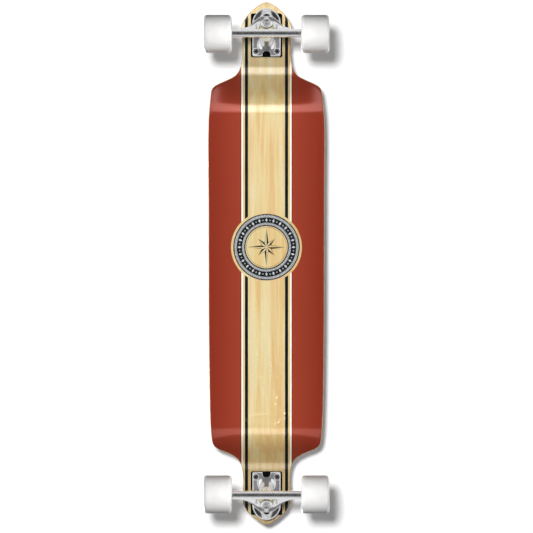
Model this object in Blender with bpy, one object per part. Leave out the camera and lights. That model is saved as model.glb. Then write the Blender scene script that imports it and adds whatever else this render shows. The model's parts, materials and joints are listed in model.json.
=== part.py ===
"""A longboard skateboard: dropped wooden deck, two reverse-kingpin trucks, four urethane wheels.

Frame: metres, +Z up, +X towards the nose, +Y to the left. The wheels stand on z = 0 and the
origin lies on that plane, under the middle of the deck.

Each truck is modelled once in its own frame, with its origin at the middle of the axle, +X
outboard (away from the middle of the board) and +Z up, and is placed twice. Inside it lies the
pivot frame: its origin is the middle of the hanger's ring, its X is the axis that the hanger
turns about, and its Z runs up the kingpin towards the deck.
"""

import math

import bmesh
import bpy
from mathutils import Vector

# ------------------------------------------------------------ driving dimensions, in metres

GAP = 0.0003  # left between pieces that touch on the real board

DECK_THICKNESS = 0.011
DECK_DROP = 0.018  # how far the standing platform hangs below the truck pads
DECK_CONCAVE = 0.009  # rise of the rails above the middle of the platform
DECK_FLAT = 0.042  # half width of the flat middle of the platform
DECK_HALF_WIDTH = 0.1135
DECK_EDGE = 0.0024  # chamfer that eases the deck's edge
SLAB_SHARES = (0, 0.37, 0.52, 0.68, 0.84, 1)  # where each cross-section has its points
BEND_ROUND = 0.011  # half length of the rounding at each bend of the drop
NOSE_BENDS = (0.303, 0.373)  # where the drop starts and ends, distance from the middle
TAIL_BENDS = (0.329, 0.391)
GRIP_THICKNESS = 0.001

# Half of the deck's outline, from nose to tail: distance along the board, half width.
OUTLINE = (
    (0.5080, 0.0030),  # nose tip
    (0.5045, 0.0110),
    (0.4970, 0.0220),
    (0.4850, 0.0350),
    (0.4735, 0.0432),
    (0.4600, 0.0490),
    (0.4460, 0.0494),  # widest beside the front axle
    (0.4280, 0.0472),
    (0.4110, 0.0465),  # front neck
    (0.3920, 0.0484),
    (0.3780, 0.0523),
    (0.3665, 0.0601),  # start of the slanted shoulder
    (0.3440, 0.1025),
    (0.3375, 0.1070),  # front shoulder
    (0.3200, 0.1093),
    (0.2730, 0.1130),
    (0.2300, 0.1135),  # widest
    (0.1000, 0.1127),
    (-0.0700, 0.1125),
    (-0.2260, 0.1111),
    (-0.3040, 0.1093),
    (-0.3400, 0.1068),
    (-0.3530, 0.1035),  # rear shoulder
    (-0.3610, 0.0940),
    (-0.3680, 0.0760),
    (-0.3750, 0.0625),
    (-0.3860, 0.0523),
    (-0.4000, 0.0471),
    (-0.4210, 0.0453),  # rear neck
    (-0.4400, 0.0465),
    (-0.4560, 0.0466),  # widest beside the rear axle
    (-0.4675, 0.0454),
    (-0.4790, 0.0399),
    (-0.4905, 0.0284),
    (-0.4985, 0.0185),
    (-0.5050, 0.0085),
    (-0.5080, 0.0030),  # tail tip
)

FRONT_AXLE_X = 0.446
REAR_AXLE_X = -0.448

WHEEL_RADIUS = 0.037
WHEEL_STEPS = 28
WHEEL_CENTRE_Y = 0.0947
WHEEL_HALF_WIDTH = 0.0275
AXLE_Z = WHEEL_RADIUS * math.cos(math.pi / WHEEL_STEPS)  # a flat of each wheel rests on z = 0

AXLE_RADIUS = 0.004
AXLE_HALF_LENGTH = 0.1220
HANGER_HALF_WIDTH = 0.0870  # end faces that the wheels' inner races run up against
BAR_RADIUS = 0.0085
BAR_OFFSET = 0.0013  # the bar's middle lies this far outboard of the axle

BEARING_WIDTH = 0.007
BEARING_RADIUS = 0.011
SPACER_LENGTH = 0.0103
RACE_RADIUS = 0.006
SPEED_WASHER = 0.001

TRUCK_HEIGHT = 0.068  # axle to mounting face
PLATE_THICKNESS = 0.008
PLATE_HALF_WIDTH = 0.0273
PLATE_INBOARD = -0.0430
PLATE_SHOULDER = 0.0235  # where the rounded outboard end starts
PLATE_OUTBOARD = 0.0507
PLATE_RIM = 0.0022
PLATE_RECESS = 0.0036
RIB_REACH = 0.68  # share of the way from the tower to a bolt, which leaves room for its nut

RISER_THICKNESS = 0.003
RISER_SPAN = (-0.0443, 0.0404)
RISER_HALF_WIDTH = 0.0304

BOLT_INBOARD = -0.0332  # the bolt pattern is 53.98 by 41.28 mm
BOLT_OUTBOARD = 0.0208
BOLT_HALF_SPAN = 0.02064
BOLT_RADIUS = 0.0024
BOLT_LENGTH = 0.03175
BOLT_HEAD_RADIUS = 0.0047
BOLT_HEAD_HEIGHT = 0.0030
NUT_FLATS = 0.00475  # half of the size across the flats
NUT_HEIGHT = 0.0050

PIVOT_ANGLE = math.radians(45)  # between the pivot axis and the deck
RING_U = 0.0080  # the ring's middle, outboard of the axle and above it
RING_W = 0.0319
RING_SEAT = 0.0045  # from the ring's middle to each bushing seat
RING_HOLE = 0.0080
BUSHING_RADIUS = 0.0140
BUSHING_LENGTH = 0.0114
CUP_WASHER_RADIUS = 0.0126
CUP_WASHER_RIM = 0.0010  # how far its rim turns up over the bushing
KINGPIN_RADIUS = 0.00475
KINGPIN_FLATS = 0.00715
KINGPIN_TIP = 0.0324  # end of the thread, below the ring's middle
KINGPIN_HEAD = (0.0360, 0.0420)  # underside and top of the head, above the ring's middle
BASE_SEAT = 0.0188  # the base plate's seat, above the ring's middle

NOSE_RADIUS = 0.0060
NOSE_TIP = 0.0242
CUP_START = 0.0169
CUP_FLANGE = 0.0010
CUP_END = 0.0260
CUP_WALL = 0.0015
BOSS_RADIUS = 0.0099
BOSS_END = 0.0276
HANGER_WING = 0.0560  # half width at which the hanger's wing has run into the bar
STEER_CLEARANCE = 0.0107  # radius kept open round the pivot boss

# Each material's colour, roughness and metallic value.
LOOKS = {
    "maple": ((0.76, 0.58, 0.33), 0.35, 0.0),
    "grip_grit": ((0.015, 0.015, 0.016), 0.95, 0.0),
    "riser_rubber": ((0.012, 0.012, 0.013), 0.7, 0.0),
    "cast_aluminium": ((0.62, 0.62, 0.63), 0.34, 1.0),
    "plated_steel": ((0.55, 0.55, 0.56), 0.28, 1.0),
    "washer_steel": ((0.72, 0.72, 0.73), 0.22, 1.0),
    "bearing_steel": ((0.45, 0.45, 0.47), 0.3, 1.0),
    "black_steel": ((0.05, 0.05, 0.055), 0.4, 1.0),
    "cream_urethane": ((0.72, 0.66, 0.40), 0.45, 0.0),
    "white_urethane": ((0.88, 0.88, 0.87), 0.35, 0.0),
}

# ------------------------------------------------------------ levels worked out from them

BASE_TOP = AXLE_Z + TRUCK_HEIGHT
RISER_BOTTOM = BASE_TOP + GAP
PAD_BOTTOM = RISER_BOTTOM + RISER_THICKNESS + GAP
PAD_TOP = PAD_BOTTOM + DECK_THICKNESS
GRIP_TOP = PAD_TOP + GAP + GRIP_THICKNESS
BOSS_FACE = TRUCK_HEIGHT - PLATE_THICKNESS - 0.0002  # nut seats, above the axle


# ------------------------------------------------------------ helpers


def clear_scene():
    for obj in list(bpy.data.objects):
        bpy.data.objects.remove(obj, do_unlink=True)


def make_material(name, colour, roughness, metallic):
    material = bpy.data.materials.new(name)
    material.use_nodes = True
    shader = material.node_tree.nodes["Principled BSDF"]
    shader.inputs["Base Color"].default_value = (*colour, 1.0)
    shader.inputs["Roughness"].default_value = roughness
    shader.inputs["Metallic"].default_value = metallic
    material.diffuse_color = (*colour, 1.0)
    return material


def finish_mesh(bm, name, smooth=30):
    """Close the bmesh into a mesh with outward faces and smooth rounds."""
    bmesh.ops.recalc_face_normals(bm, faces=bm.faces)
    mesh = bpy.data.meshes.new(name)
    bm.to_mesh(mesh)
    bm.free()
    mesh.shade_smooth()
    mesh.set_sharp_from_angle(angle=math.radians(smooth))
    return mesh


def add_object(name, mesh, material, parent=None, location=(0, 0, 0), rotation=(0, 0, 0)):
    obj = bpy.data.objects.new(name, mesh)
    if material:
        mesh.materials.append(material)
    obj.parent = parent
    obj.location = location
    obj.rotation_euler = rotation
    bpy.context.scene.collection.objects.link(obj)
    return obj


def add_empty(name, parent=None, location=(0, 0, 0), rotation=(0, 0, 0)):
    empty = bpy.data.objects.new(name, None)
    empty.empty_display_size = 0.02
    empty.parent = parent
    empty.location = location
    empty.rotation_euler = rotation
    bpy.context.scene.collection.objects.link(empty)
    return empty


def combine(obj, tool, operation):
    """Boolean another object into obj, and keep that object as a hidden guide."""
    modifier = obj.modifiers.new(tool.name, "BOOLEAN")
    modifier.operation = operation
    modifier.solver = "EXACT"
    modifier.object = tool
    tool.hide_render = True
    tool.display_type = "WIRE"


def ring_radius(radius, flats, angle):
    """Radius at an angle of a circle, or of a regular polygon given by its inner radius."""
    if not flats:
        return radius
    side = 2 * math.pi / flats
    return radius / math.cos((angle + side / 2) % side - side / 2)


def turned_mesh(name, rings, steps, hollow=False, turn=0.07, smooth=30):
    """A body turned about Z from rings of (height, radius) or (height, radius, flats).

    A hollow body's last ring joins its first; a solid one is capped at both ends.
    """
    bm = bmesh.new()
    loops = []
    for height, radius, *flats in rings:
        loop = []
        for step in range(steps):
            angle = turn + 2 * math.pi * step / steps
            reach = ring_radius(radius, flats[0] if flats else 0, angle - turn)
            loop.append(bm.verts.new((reach * math.cos(angle), reach * math.sin(angle), height)))
        loops.append(loop)
    following = loops[1:] + ([loops[0]] if hollow else [])
    for lower, upper in zip(loops, following):
        for i in range(steps):
            j = (i + 1) % steps
            bm.faces.new((lower[i], lower[j], upper[j], upper[i]))
    if not hollow:
        bm.faces.new(loops[0])
        bm.faces.new(loops[-1])
    return finish_mesh(bm, name, smooth)


def prism_mesh(name, outline, low, high):
    """A flat outline in X and Y, extruded along Z from low to high."""
    bm = bmesh.new()
    face = bm.faces.new([bm.verts.new((x, y, low)) for x, y in outline])
    raised = bmesh.ops.extrude_face_region(bm, geom=[face])["geom"]
    verts = [item for item in raised if isinstance(item, bmesh.types.BMVert)]
    bmesh.ops.translate(bm, verts=verts, vec=(0, 0, high - low))
    return finish_mesh(bm, name)


def arc(centre, radius, start, end, steps):
    """Points on an arc, with both ends, angles in degrees."""
    angles = [math.radians(start + (end - start) * i / steps) for i in range(steps + 1)]
    return [(centre[0] + radius * math.cos(a), centre[1] + radius * math.sin(a)) for a in angles]


# ------------------------------------------------------------ deck


def half_width(x):
    """Half width of the deck at x, on a smooth curve through the outline's points."""
    points = OUTLINE[::-1]
    x = min(max(x, points[0][0]), points[-1][0])
    at = next(i for i in range(len(points) - 1) if x <= points[i + 1][0])
    (x0, y0), (x1, y1) = points[at], points[at + 1]

    def rise(i):
        return (points[i + 1][1] - points[i][1]) / (points[i + 1][0] - points[i][0])

    def slope(i):
        """Slope at a point: none at a peak, and no steeper than its gentler side allows."""
        before, after = rise(max(i - 1, 0)), rise(min(i, len(points) - 2))
        return 0.0 if before * after <= 0 else 2 * before * after / (before + after)

    length = x1 - x0
    t = (x - x0) / length
    return (
        (2 * t**3 - 3 * t**2 + 1) * y0
        + (t**3 - 2 * t**2 + t) * length * slope(at)
        + (3 * t**2 - 2 * t**3) * y1
        + (t**3 - t**2) * length * slope(at + 1)
    )


def rounded_step(distance):
    """Nothing before a bend, the distance past it after it, and a parabola between."""
    if distance <= -BEND_ROUND:
        return 0.0
    if distance >= BEND_ROUND:
        return distance
    return (distance + BEND_ROUND) ** 2 / (4 * BEND_ROUND)


def climb(x):
    """How far the deck has climbed from the platform towards a pad, from 0 to 1."""
    low, high = NOSE_BENDS if x > 0 else TAIL_BENDS
    return (rounded_step(abs(x) - low) - rounded_step(abs(x) - high)) / (high - low)


def deck_bottom(x, y):
    """Height of the deck's underside."""
    climbed = climb(x)
    side = max(abs(y) - DECK_FLAT, 0.0) / (DECK_HALF_WIDTH - DECK_FLAT)
    rail = DECK_CONCAVE * (1 - climbed) * side**1.7
    return PAD_BOTTOM - DECK_DROP * (1 - climbed) + rail


def deck_stations():
    """Where the deck is cut across: the outline's points and the bends of the drop."""
    bends = []
    for side, (low, high) in ((1, NOSE_BENDS), (-1, TAIL_BENDS)):
        for bend in (low, high):
            bends += [side * (bend - BEND_ROUND), side * bend, side * (bend + BEND_ROUND)]
    places = sorted(bends + [x for x, _ in OUTLINE])
    return [x for i, x in enumerate(places) if i == 0 or x - places[i - 1] > 0.002]


def slab_mesh(name, lift, thickness, edge):
    """A sheet that follows the deck's shape, lifted above its underside.

    Its faces stop short of the outline by the deck's chamfer, and edge is that chamfer.
    """
    bm = bmesh.new()
    across = [-share for share in SLAB_SHARES[:0:-1]] + list(SLAB_SHARES)
    rows = []
    for x in deck_stations():
        half = half_width(x)
        inner = half - min(DECK_EDGE, half * 0.6)
        low = [(share * inner, 0.0) for share in across]
        high = [(y, thickness) for y, _ in reversed(low)]
        if edge:
            low += [(half, edge), (half, thickness - edge)]
            high += [(-half, thickness - edge), (-half, edge)]
        row = [bm.verts.new((x, y, deck_bottom(x, y) + lift + z)) for y, z in low + high]
        rows.append(row)
    for first, second in zip(rows, rows[1:]):
        for i in range(len(first)):
            j = (i + 1) % len(first)
            # The same diagonal above and below, so that the grip tape lies on the deck.
            if first[j].co.y > first[i].co.y:
                halves = (first[i], first[j], second[j]), (first[i], second[j], second[i])
            else:
                halves = (first[i], first[j], second[i]), (first[j], second[j], second[i])
            for half_face in halves:
                bm.faces.new(half_face)
    bm.faces.new(rows[0])
    bm.faces.new(rows[-1])
    return finish_mesh(bm, name)


def bolt_places():
    """Name, x and y of every mounting bolt."""
    for end, axle, outboard in (("front", FRONT_AXLE_X, 1), ("rear", REAR_AXLE_X, -1)):
        number = 0
        for along in (BOLT_INBOARD, BOLT_OUTBOARD):
            for side in (1, -1):
                number += 1
                yield f"{end}_bolt_{number}", axle + outboard * along, side * BOLT_HALF_SPAN


def build_deck(materials):
    board = slab_mesh("deck", 0, DECK_THICKNESS, DECK_EDGE)
    deck = add_object("deck", board, materials["maple"])
    tape = slab_mesh("grip_tape", DECK_THICKNESS + GAP, GRIP_THICKNESS, 0)
    grip = add_object("grip_tape", tape, materials["grip_grit"])
    head = GRIP_TOP - BOLT_HEAD_HEIGHT
    clear = BOLT_RADIUS + GAP
    rings = (
        (PAD_BOTTOM - 0.002, clear),
        (head - GAP, clear),
        (GRIP_TOP + 0.001, BOLT_HEAD_RADIUS + 3 * GAP),
    )
    for name, x, y in bolt_places():
        hole = add_object(f"{name}_hole", turned_mesh("hole", rings, 12), None, None, (x, y, 0))
        combine(deck, hole, "DIFFERENCE")
        wide = ((PAD_TOP - 0.001, BOLT_HEAD_RADIUS + GAP), (GRIP_TOP + 0.001, BOLT_HEAD_RADIUS + GAP))
        window = add_object(f"{name}_window", turned_mesh("window", wide, 12), None, None, (x, y, 0))
        combine(grip, window, "DIFFERENCE")


# ------------------------------------------------------------ mounting bolts and nuts


def build_fasteners(materials):
    shaft = GRIP_TOP - BOLT_LENGTH
    bolt = turned_mesh("mounting_bolt", (
        (shaft, BOLT_RADIUS - 0.0005),
        (shaft + 0.0006, BOLT_RADIUS),
        (GRIP_TOP - BOLT_HEAD_HEIGHT, BOLT_RADIUS),
        (GRIP_TOP - 0.0004, BOLT_HEAD_RADIUS),
        (GRIP_TOP, BOLT_HEAD_RADIUS),
    ), 10)
    top = AXLE_Z + BOSS_FACE - GAP
    bore = BOLT_RADIUS + GAP
    nut = turned_mesh("mounting_nut", (
        (top - NUT_HEIGHT, NUT_FLATS - 0.0008),
        (top - NUT_HEIGHT + 0.0014, NUT_FLATS, 6),
        (top, NUT_FLATS, 6),
        (top, bore),
        (top - NUT_HEIGHT, bore),
    ), 12, hollow=True)
    for mesh in (bolt, nut):
        mesh.materials.append(materials["black_steel"])
    for name, x, y in bolt_places():
        add_object(name.replace("bolt", "mounting_bolt"), bolt, None, None, (x, y, 0))
        add_object(name.replace("bolt", "mounting_nut"), nut, None, None, (x, y, 0))


# ------------------------------------------------------------ base plate


def plate_outline():
    """The base plate from below: square and notched inboard, a blunt point outboard."""
    corner = 0.0030
    sides = arc((PLATE_INBOARD + corner, -PLATE_HALF_WIDTH + corner), corner, 180, 270, 3)
    steps, power = 14, 1.85
    for i in range(steps + 1):
        angle = -math.pi / 2 + math.pi * i / steps
        reach = abs(math.cos(angle)) ** (2 / power) * (PLATE_OUTBOARD - PLATE_SHOULDER)
        across = abs(math.sin(angle)) ** (2 / power) * PLATE_HALF_WIDTH
        sides.append((PLATE_SHOULDER + reach, math.copysign(across, angle)))
    sides += arc((PLATE_INBOARD + corner, PLATE_HALF_WIDTH - corner), corner, 90, 180, 3)
    for depth, across in ((0, 0.0080), (0.0094, 0.0056), (0.0094, -0.0056), (0, -0.0080)):
        sides.append((PLATE_INBOARD + depth, across))
    return sides


def plate_mesh():
    """The plate with a raised rim round its recessed underside."""
    bm = bmesh.new()
    low = TRUCK_HEIGHT - PLATE_THICKNESS
    face = bm.faces.new([bm.verts.new((x, y, low)) for x, y in plate_outline()])
    raised = bmesh.ops.extrude_face_region(bm, geom=[face])["geom"]
    verts = [item for item in raised if isinstance(item, bmesh.types.BMVert)]
    bmesh.ops.translate(bm, verts=verts, vec=(0, 0, PLATE_THICKNESS))
    bmesh.ops.recalc_face_normals(bm, faces=bm.faces)
    under = min(bm.faces, key=lambda f: f.calc_center_median().z)
    bmesh.ops.inset_individual(bm, faces=[under], thickness=PLATE_RIM, depth=-PLATE_RECESS)
    return finish_mesh(bm, "base_plate")


def pivot_point(along, up):
    """A point of the pivot frame's X and Z plane, in the truck frame."""
    cos, sin = math.cos(PIVOT_ANGLE), math.sin(PIVOT_ANGLE)
    return (RING_U + along * cos - up * sin, RING_W + along * sin + up * cos)


def tower_outline():
    """Side view of the web that carries the kingpin's seat and the pivot boss."""
    inside = TRUCK_HEIGHT - 0.0015
    return [
        (PLATE_INBOARD + 0.0100, inside),
        (PLATE_INBOARD + 0.0100, TRUCK_HEIGHT - PLATE_THICKNESS - 0.001),
        pivot_point(-BOSS_END + 0.0012, 0.0040),
        pivot_point(-BOSS_END + 0.0030, -0.0040),
        pivot_point(-CUP_START - CUP_FLANGE - 0.0010, 0.0040),
        pivot_point(-CUP_START - CUP_FLANGE - 0.0010, BOSS_RADIUS - 0.001),
        pivot_point(-0.0158, BASE_SEAT),
        pivot_point(0.0100, BASE_SEAT + 0.0008),
        (0.0120, inside - 0.0020),
        (0.0120, inside),
    ]


def rib_outline(start, end, half):
    """Plan view of a straight rib between two points."""
    along = end - start
    side = Vector((-along.y, along.x)).normalized() * half
    return [tuple(corner) for corner in (start + side, start - side, end - side, end + side)]


def build_baseplate(end, truck, pivot, materials):
    plate = add_object(f"{end}_baseplate", plate_mesh(), materials["cast_aluminium"], truck)
    inside = TRUCK_HEIGHT - 0.0020
    tower = add_object(f"{end}_tower", prism_mesh("tower", tower_outline(), -0.0058, 0.0058),
                       None, truck, (0, 0, 0), (math.pi / 2, 0, 0))
    combine(plate, tower, "UNION")

    lean = pivot.rotation_euler.y
    seat = add_object(f"{end}_kingpin_boss", turned_mesh("kingpin_boss", (
        (BASE_SEAT, 0.0120), (BASE_SEAT + 0.0012, 0.0132), (0.0355, 0.0132)), 16),
        None, truck, pivot.location, (0, lean, 0))
    combine(plate, seat, "UNION")
    mouth = CUP_START + CUP_FLANGE + GAP
    boss = add_object(f"{end}_pivot_boss", turned_mesh("pivot_boss", (
        (mouth, BOSS_RADIUS - 0.0006), (mouth + 0.0008, BOSS_RADIUS),
        (BOSS_END - 0.0024, BOSS_RADIUS), (BOSS_END, BOSS_RADIUS - 0.0022)), 16),
        None, truck, pivot.location, (0, lean - math.pi / 2, 0))
    combine(plate, boss, "UNION")

    for number, (along, side) in enumerate(
        (along, side) for along in (BOLT_INBOARD, BOLT_OUTBOARD) for side in (1, -1)
    ):
        foot = (along, side * BOLT_HALF_SPAN)
        start = Vector((-0.0120 if along < 0 else 0.0040, side * 0.0030))
        rib = rib_outline(start, start.lerp(Vector(foot), RIB_REACH), 0.0030)
        low = TRUCK_HEIGHT - PLATE_THICKNESS - 0.0040
        web = add_object(f"{end}_rib_{number}", prism_mesh("rib", rib, low, inside), None, truck)
        combine(plate, web, "UNION")
        pad = add_object(f"{end}_bolt_pad_{number}", turned_mesh("bolt_pad", (
            (BOSS_FACE, 0.0058), (BOSS_FACE + 0.0008, 0.0064), (inside - 0.0007, 0.0064)), 12),
            None, truck, (*foot, 0))
        combine(plate, pad, "UNION")
        hole = add_object(f"{end}_bolt_bore_{number}", turned_mesh("bolt_bore", (
            (BOSS_FACE - 0.012, BOLT_RADIUS + 2 * GAP), (TRUCK_HEIGHT + 0.002, BOLT_RADIUS + 2 * GAP)), 8),
            None, truck, (*foot, 0))
        combine(plate, hole, "DIFFERENCE")

    bumper = add_object(f"{end}_bumper", turned_mesh("bumper", (
        (TRUCK_HEIGHT - 0.0100, 0.0112), (TRUCK_HEIGHT - 0.0090, 0.0123), (inside, 0.0123)), 16),
        None, truck, (0.0320, 0, 0))
    combine(plate, bumper, "UNION")
    well = add_object(f"{end}_bumper_well", turned_mesh("bumper_well", (
        (TRUCK_HEIGHT - 0.0120, 0.0070), (TRUCK_HEIGHT - 0.0035, 0.0070)), 12),
        None, truck, (0.0330, 0, 0))
    combine(plate, well, "DIFFERENCE")

    bore = add_object(f"{end}_kingpin_bore", turned_mesh("kingpin_bore", (
        (BASE_SEAT - 0.004, KINGPIN_RADIUS + GAP), (KINGPIN_HEAD[0] - GAP, KINGPIN_RADIUS + GAP),
        (KINGPIN_HEAD[0] - GAP, 0.0093), (0.0700, 0.0093)), 12),
        None, truck, pivot.location, (0, lean, 0))
    combine(plate, bore, "DIFFERENCE")
    socket = add_object(f"{end}_cup_socket", turned_mesh("cup_socket", (
        (mouth - 0.004, NOSE_RADIUS + CUP_WALL + 2 * GAP),
        (CUP_END + GAP, NOSE_RADIUS + CUP_WALL + 2 * GAP),
        (CUP_END + GAP, 0.0052), (BOSS_END + 0.010, 0.0052)), 12),
        None, truck, pivot.location, (0, lean - math.pi / 2, 0))
    combine(plate, socket, "DIFFERENCE")


def build_riser(end, truck, materials):
    low, high = RISER_SPAN
    corner = 0.003
    outline = []
    for x, y, start in ((high, 1, 0), (low, 1, 90), (low, -1, 180), (high, -1, 270)):
        centre = (x - math.copysign(corner, x), y * (RISER_HALF_WIDTH - corner))
        outline += arc(centre, corner, start, start + 90, 2)
    bottom = RISER_BOTTOM - AXLE_Z
    sheet = prism_mesh("riser_pad", outline, bottom, bottom + RISER_THICKNESS)
    pad = add_object(f"{end}_riser_pad", sheet, materials["riser_rubber"], truck)
    for number, (along, side) in enumerate(
        (along, side) for along in (BOLT_INBOARD, BOLT_OUTBOARD) for side in (1, -1)
    ):
        hole = add_object(f"{end}_riser_hole_{number}", turned_mesh("riser_hole", (
            (bottom - 0.002, BOLT_RADIUS + 2 * GAP), (bottom + 0.006, BOLT_RADIUS + 2 * GAP)), 8),
            None, truck, (along, side * BOLT_HALF_SPAN, 0))
        combine(pad, hole, "DIFFERENCE")


# ------------------------------------------------------------ kingpin, bushings and pivot cup


def build_kingpin(end, axis, materials):
    """The pieces threaded on the kingpin. Heights are up the kingpin from the ring's middle."""
    steel, plating = materials["plated_steel"], materials["washer_steel"]
    bore = KINGPIN_RADIUS + GAP
    head_low, head_high = KINGPIN_HEAD
    add_object(f"{end}_kingpin", turned_mesh("kingpin", (
        (-KINGPIN_TIP, KINGPIN_RADIUS - 0.0010),
        (-KINGPIN_TIP + 0.0010, KINGPIN_RADIUS),
        (head_low, KINGPIN_RADIUS),
        (head_low, KINGPIN_FLATS, 6),
        (head_high, KINGPIN_FLATS, 6),
    ), 24), steel, axis)

    start = RING_SEAT + GAP
    stop = start + BUSHING_LENGTH
    for name, way in (("bushing_board", 1), ("bushing_road", -1)):
        add_object(f"{end}_{name}", turned_mesh("bushing", (
            (way * start, bore),
            (way * start, BUSHING_RADIUS - 0.0008),
            (way * (start + 0.0010), BUSHING_RADIUS),
            (way * (stop - 0.0036), BUSHING_RADIUS - 0.0004),
            (way * (stop - 0.0018), 0.0119),
            (way * stop, 0.0111),
            (way * stop, bore),
        ), 16, hollow=True), materials["cream_urethane"], axis)

    seat = stop + GAP
    add_object(f"{end}_cup_washer_board", turned_mesh("flat_washer", (
        (seat, bore), (seat, 0.0125), (BASE_SEAT - GAP, 0.0125), (BASE_SEAT - GAP, bore)),
        16, hollow=True), plating, axis)
    face = seat + 0.0021
    add_object(f"{end}_cup_washer_road", turned_mesh("cup_washer", (
        (-seat, bore),
        (-seat, 0.0115),
        (-seat + CUP_WASHER_RIM, 0.0120),
        (-seat + CUP_WASHER_RIM, CUP_WASHER_RADIUS),
        (-seat, CUP_WASHER_RADIUS),
        (-face, 0.0100),
        (-face, bore),
    ), 16, hollow=True), plating, axis)
    nut = face + GAP
    add_object(f"{end}_kingpin_nut", turned_mesh("kingpin_nut", (
        (-nut, bore),
        (-nut, KINGPIN_FLATS, 6),
        (-nut - 0.0070, KINGPIN_FLATS, 6),
        (-nut - 0.0074, KINGPIN_FLATS - 0.0007),
        (-nut - 0.0098, KINGPIN_FLATS - 0.0012),
        (-nut - 0.0098, bore),
    ), 24, hollow=True), steel, axis)


def build_pivot_cup(end, truck, pivot, materials):
    outer = NOSE_RADIUS + CUP_WALL + GAP
    add_object(f"{end}_pivot_cup", turned_mesh("pivot_cup", (
        (CUP_START, NOSE_RADIUS + GAP),
        (CUP_START, BOSS_RADIUS - 0.0007),
        (CUP_START + CUP_FLANGE, BOSS_RADIUS - 0.0007),
        (CUP_START + CUP_FLANGE, outer),
        (CUP_END, outer),
        (CUP_END, 0.0015),
        (CUP_END - CUP_WALL, 0.0015),
        (CUP_END - CUP_WALL, NOSE_RADIUS - 0.0008),
        (CUP_END - CUP_WALL - 0.0022, NOSE_RADIUS + GAP),
    ), 12, hollow=True), materials["cream_urethane"], truck, pivot.location,
        (0, pivot.rotation_euler.y - math.pi / 2, 0))


# ------------------------------------------------------------ hanger


def bar_centre():
    """Middle of the hanger's bar in the pivot frame's X and Z."""
    cos, sin = math.cos(PIVOT_ANGLE), math.sin(PIVOT_ANGLE)
    along = -(RING_U - BAR_OFFSET) * cos - RING_W * sin
    up = (RING_U - BAR_OFFSET) * sin - RING_W * cos
    return along, up


# Section of the hanger through its middle, from the bar's road side round to its deck side,
# in the pivot frame: past the bushing seats to the raised lip, and back over the deck side.
WING_SECTION = (
    (-0.0186, -0.0140),
    (-0.0168, -0.0085),
    (-0.0156, -0.0055),  # road-side floor
    (-0.0080, -0.0055),
    (0.0080, -0.0055),
    (0.0155, -0.0055),
    (0.0200, -0.0062),
    (0.0228, -0.0090),
    (0.0246, -0.0113),  # lip
    (0.0272, -0.0116),
    (0.0284, -0.0096),
    (0.0276, -0.0040),
    (0.0252, 0.0015),
    (0.0215, 0.0046),
    (0.0140, 0.0055),  # deck-side face
    (-0.0080, 0.0055),
    (-0.0160, 0.0032),
    (-0.0230, -0.0040),
)
WING_FROM, WING_TO = -27, 93  # degrees of the bar's round that the wing grows out of

# Share of its full reach that the wing keeps at each distance from the middle.
WING_SPREAD = (
    (0.0000, 1.000),
    (0.0080, 0.985),
    (0.0147, 0.915),
    (0.0210, 0.745),
    (0.0270, 0.555),
    (0.0350, 0.365),
    (0.0430, 0.275),
    (0.0500, 0.200),
    (HANGER_WING, 0.000),
)


def wing_share(across):
    """How far the wing reaches at this distance from the middle, from 1 down to 0."""
    for (near, more), (far, less) in zip(WING_SPREAD, WING_SPREAD[1:]):
        if across <= far:
            return more + (less - more) * (across - near) / (far - near)
    return 0.0


def hanger_section(across):
    """Outline of the hanger at one distance from the middle, in the pivot frame."""
    centre = Vector(bar_centre())
    share = wing_share(across)
    count = len(WING_SECTION)
    points = [Vector(p) for p in arc(centre, BAR_RADIUS, WING_TO, WING_FROM + 360, 10)]
    for i, reach in enumerate(WING_SECTION):
        angle = math.radians(WING_FROM + (WING_TO - WING_FROM) * (i + 1) / (count + 1))
        bar = centre + BAR_RADIUS * Vector((math.cos(angle), math.sin(angle)))
        points.append(bar.lerp(Vector(reach), share))
    return points


def hanger_mesh():
    bm = bmesh.new()
    half = (0, 0.008, 0.0147, 0.0185, 0.0225, 0.027, 0.031, 0.037, 0.045, HANGER_WING,
            HANGER_HALF_WIDTH)
    rows = []
    for across in [-y for y in half[:0:-1]] + list(half):
        rows.append([bm.verts.new((p.x, across, p.y)) for p in hanger_section(abs(across))])
    for first, second in zip(rows, rows[1:]):
        for i in range(len(first)):
            j = (i + 1) % len(first)
            bm.faces.new((first[i], first[j], second[j], second[i]))
    bm.faces.new(rows[0])
    bm.faces.new(rows[-1])
    return finish_mesh(bm, "hanger", 40)


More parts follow.
